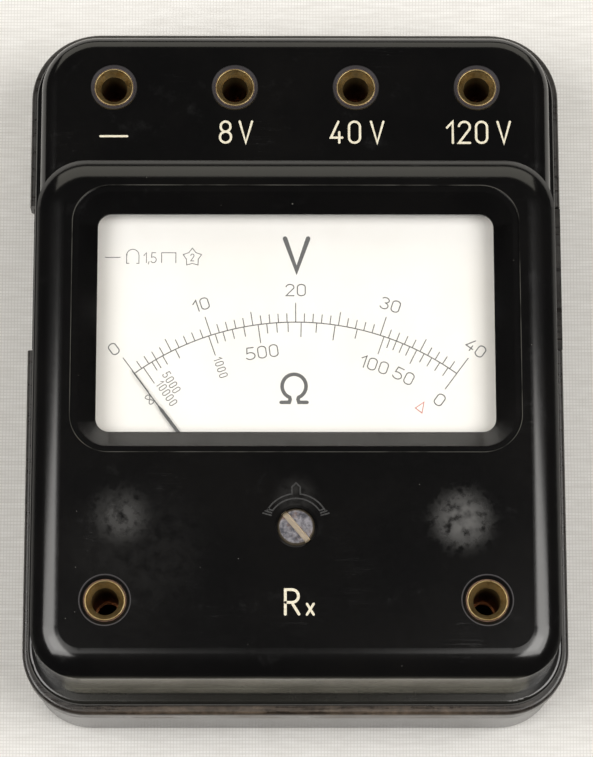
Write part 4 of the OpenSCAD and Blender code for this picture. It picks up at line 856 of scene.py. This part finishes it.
marks("zero_mark", [(relief, 0.22)], PLATEAU_Z - SUNK, RELIEF_H, M_RELIEF, "case")



# ---------------------------------------------------------------- stage
def cloth():
    """Pale linen: a plain weave with uneven threads."""
    p = Paint("table_cloth")
    pitch = 0.52
    wander = p.times(p.noise(0.12, 3.0, 0.5), 2.4)
    turns = 2 * math.pi / pitch
    wx = p.math("SINE", p.plus(p.times(p.xyz[0], turns), wander))
    wy = p.math("SINE", p.plus(p.times(p.xyz[1], turns), wander))
    gap = p.most(p.span(wx, 0.55, 1.0), p.span(wy, 0.55, 1.0))
    slub = p.noise(1.0, 3.0, 0.6, p.stretched(0, 0.2, 1.3))
    slub2 = p.noise(1.0, 3.0, 0.6, p.stretched(90, 0.2, 1.3))
    tone = p.plus(p.times(slub, 0.5), p.times(slub2, 0.5))
    color = p.mix(p.span(tone, 0.3, 0.7), (0.76, 0.745, 0.72), (0.86, 0.85, 0.83))
    color = p.mix(p.times(gap, 0.42), color, (0.52, 0.5, 0.47))
    height = p.plus(p.times(gap, -1.0), p.times(tone, 1.5))
    return p.finish(color, 0.9, 0.0, p.bump(height, 0.25, 0.06))


TABLE_SIZE = 6.0
WARM_WHITE = (1.0, 0.98, 0.95)
WORLD_STRENGTH = 0.06

bpy.ops.mesh.primitive_plane_add(size=TABLE_SIZE, location=(0, 0, 0))
floor = bpy.context.object
floor.name = "table"
floor.data.materials.append(cloth())

world = bpy.data.worlds.new("studio")
world.use_nodes = True
background = world.node_tree.nodes["Background"]
background.inputs["Color"].default_value = (*WARM_WHITE, 1)
background.inputs["Strength"].default_value = WORLD_STRENGTH
bpy.context.scene.world = world
bpy.context.scene.view_settings.view_transform = "Standard"

TARGET = Vector((0.0, -5.0, 20.0)) * MM


def softbox(name, at, size, power, tint=WARM_WHITE):
    """Rectangular soft light that faces the meter; metres and watts."""
    data = bpy.data.lights.new(name, "AREA")
    data.shape = "RECTANGLE"
    data.size, data.size_y = size
    data.energy = power
    data.color = tint
    obj = bpy.data.objects.new(name, data)
    obj.location = at
    obj.rotation_euler = (TARGET - Vector(at)).to_track_quat("-Z", "Y").to_euler()
    bpy.context.scene.collection.objects.link(obj)


softbox("left_softbox", (-0.52, -0.12, 0.85), (0.62, 0.6), 5.7)
softbox("right_softbox", (0.52, -0.12, 0.85), (0.62, 0.6), 6.3)
softbox("left_glow", (-0.34, -0.12, 0.9), (0.26, 0.56), 0.7)
softbox("right_glow", (0.34, -0.12, 0.9), (0.26, 0.56), 0.8)
softbox("back_softbox", (0.0, 1.2, 0.7), (2.0, 1.0), 7.5, (1.0, 0.96, 0.84))

# ---------------------------------------------------------------- camera
CAM_AT = Vector((-3.25, -123.5, 529.5)) * MM
CAM_TILT, CAM_YAW, CAM_ROLL = (math.radians(a) for a in (13.43, -0.377, 0.04))
SENSOR_MM = 36.0
LENS_MM = 159.028
CLIP_NEAR, CLIP_FAR = 0.01, 20
cam_data = bpy.data.cameras.new("camera")
cam_data.sensor_width = SENSOR_MM
cam_data.lens = LENS_MM
camera = bpy.data.objects.new("camera", cam_data)
camera.location = CAM_AT
camera.rotation_mode = "QUATERNION"
turn = (Matrix.Rotation(CAM_TILT, 3, "X") @ Matrix.Rotation(CAM_YAW, 3, "Y")
        @ Matrix.Rotation(CAM_ROLL, 3, "Z"))
camera.rotation_quaternion = turn.to_quaternion()
cam_data.clip_start, cam_data.clip_end = CLIP_NEAR, CLIP_FAR
bpy.context.scene.collection.objects.link(camera)
bpy.context.scene.camera = camera
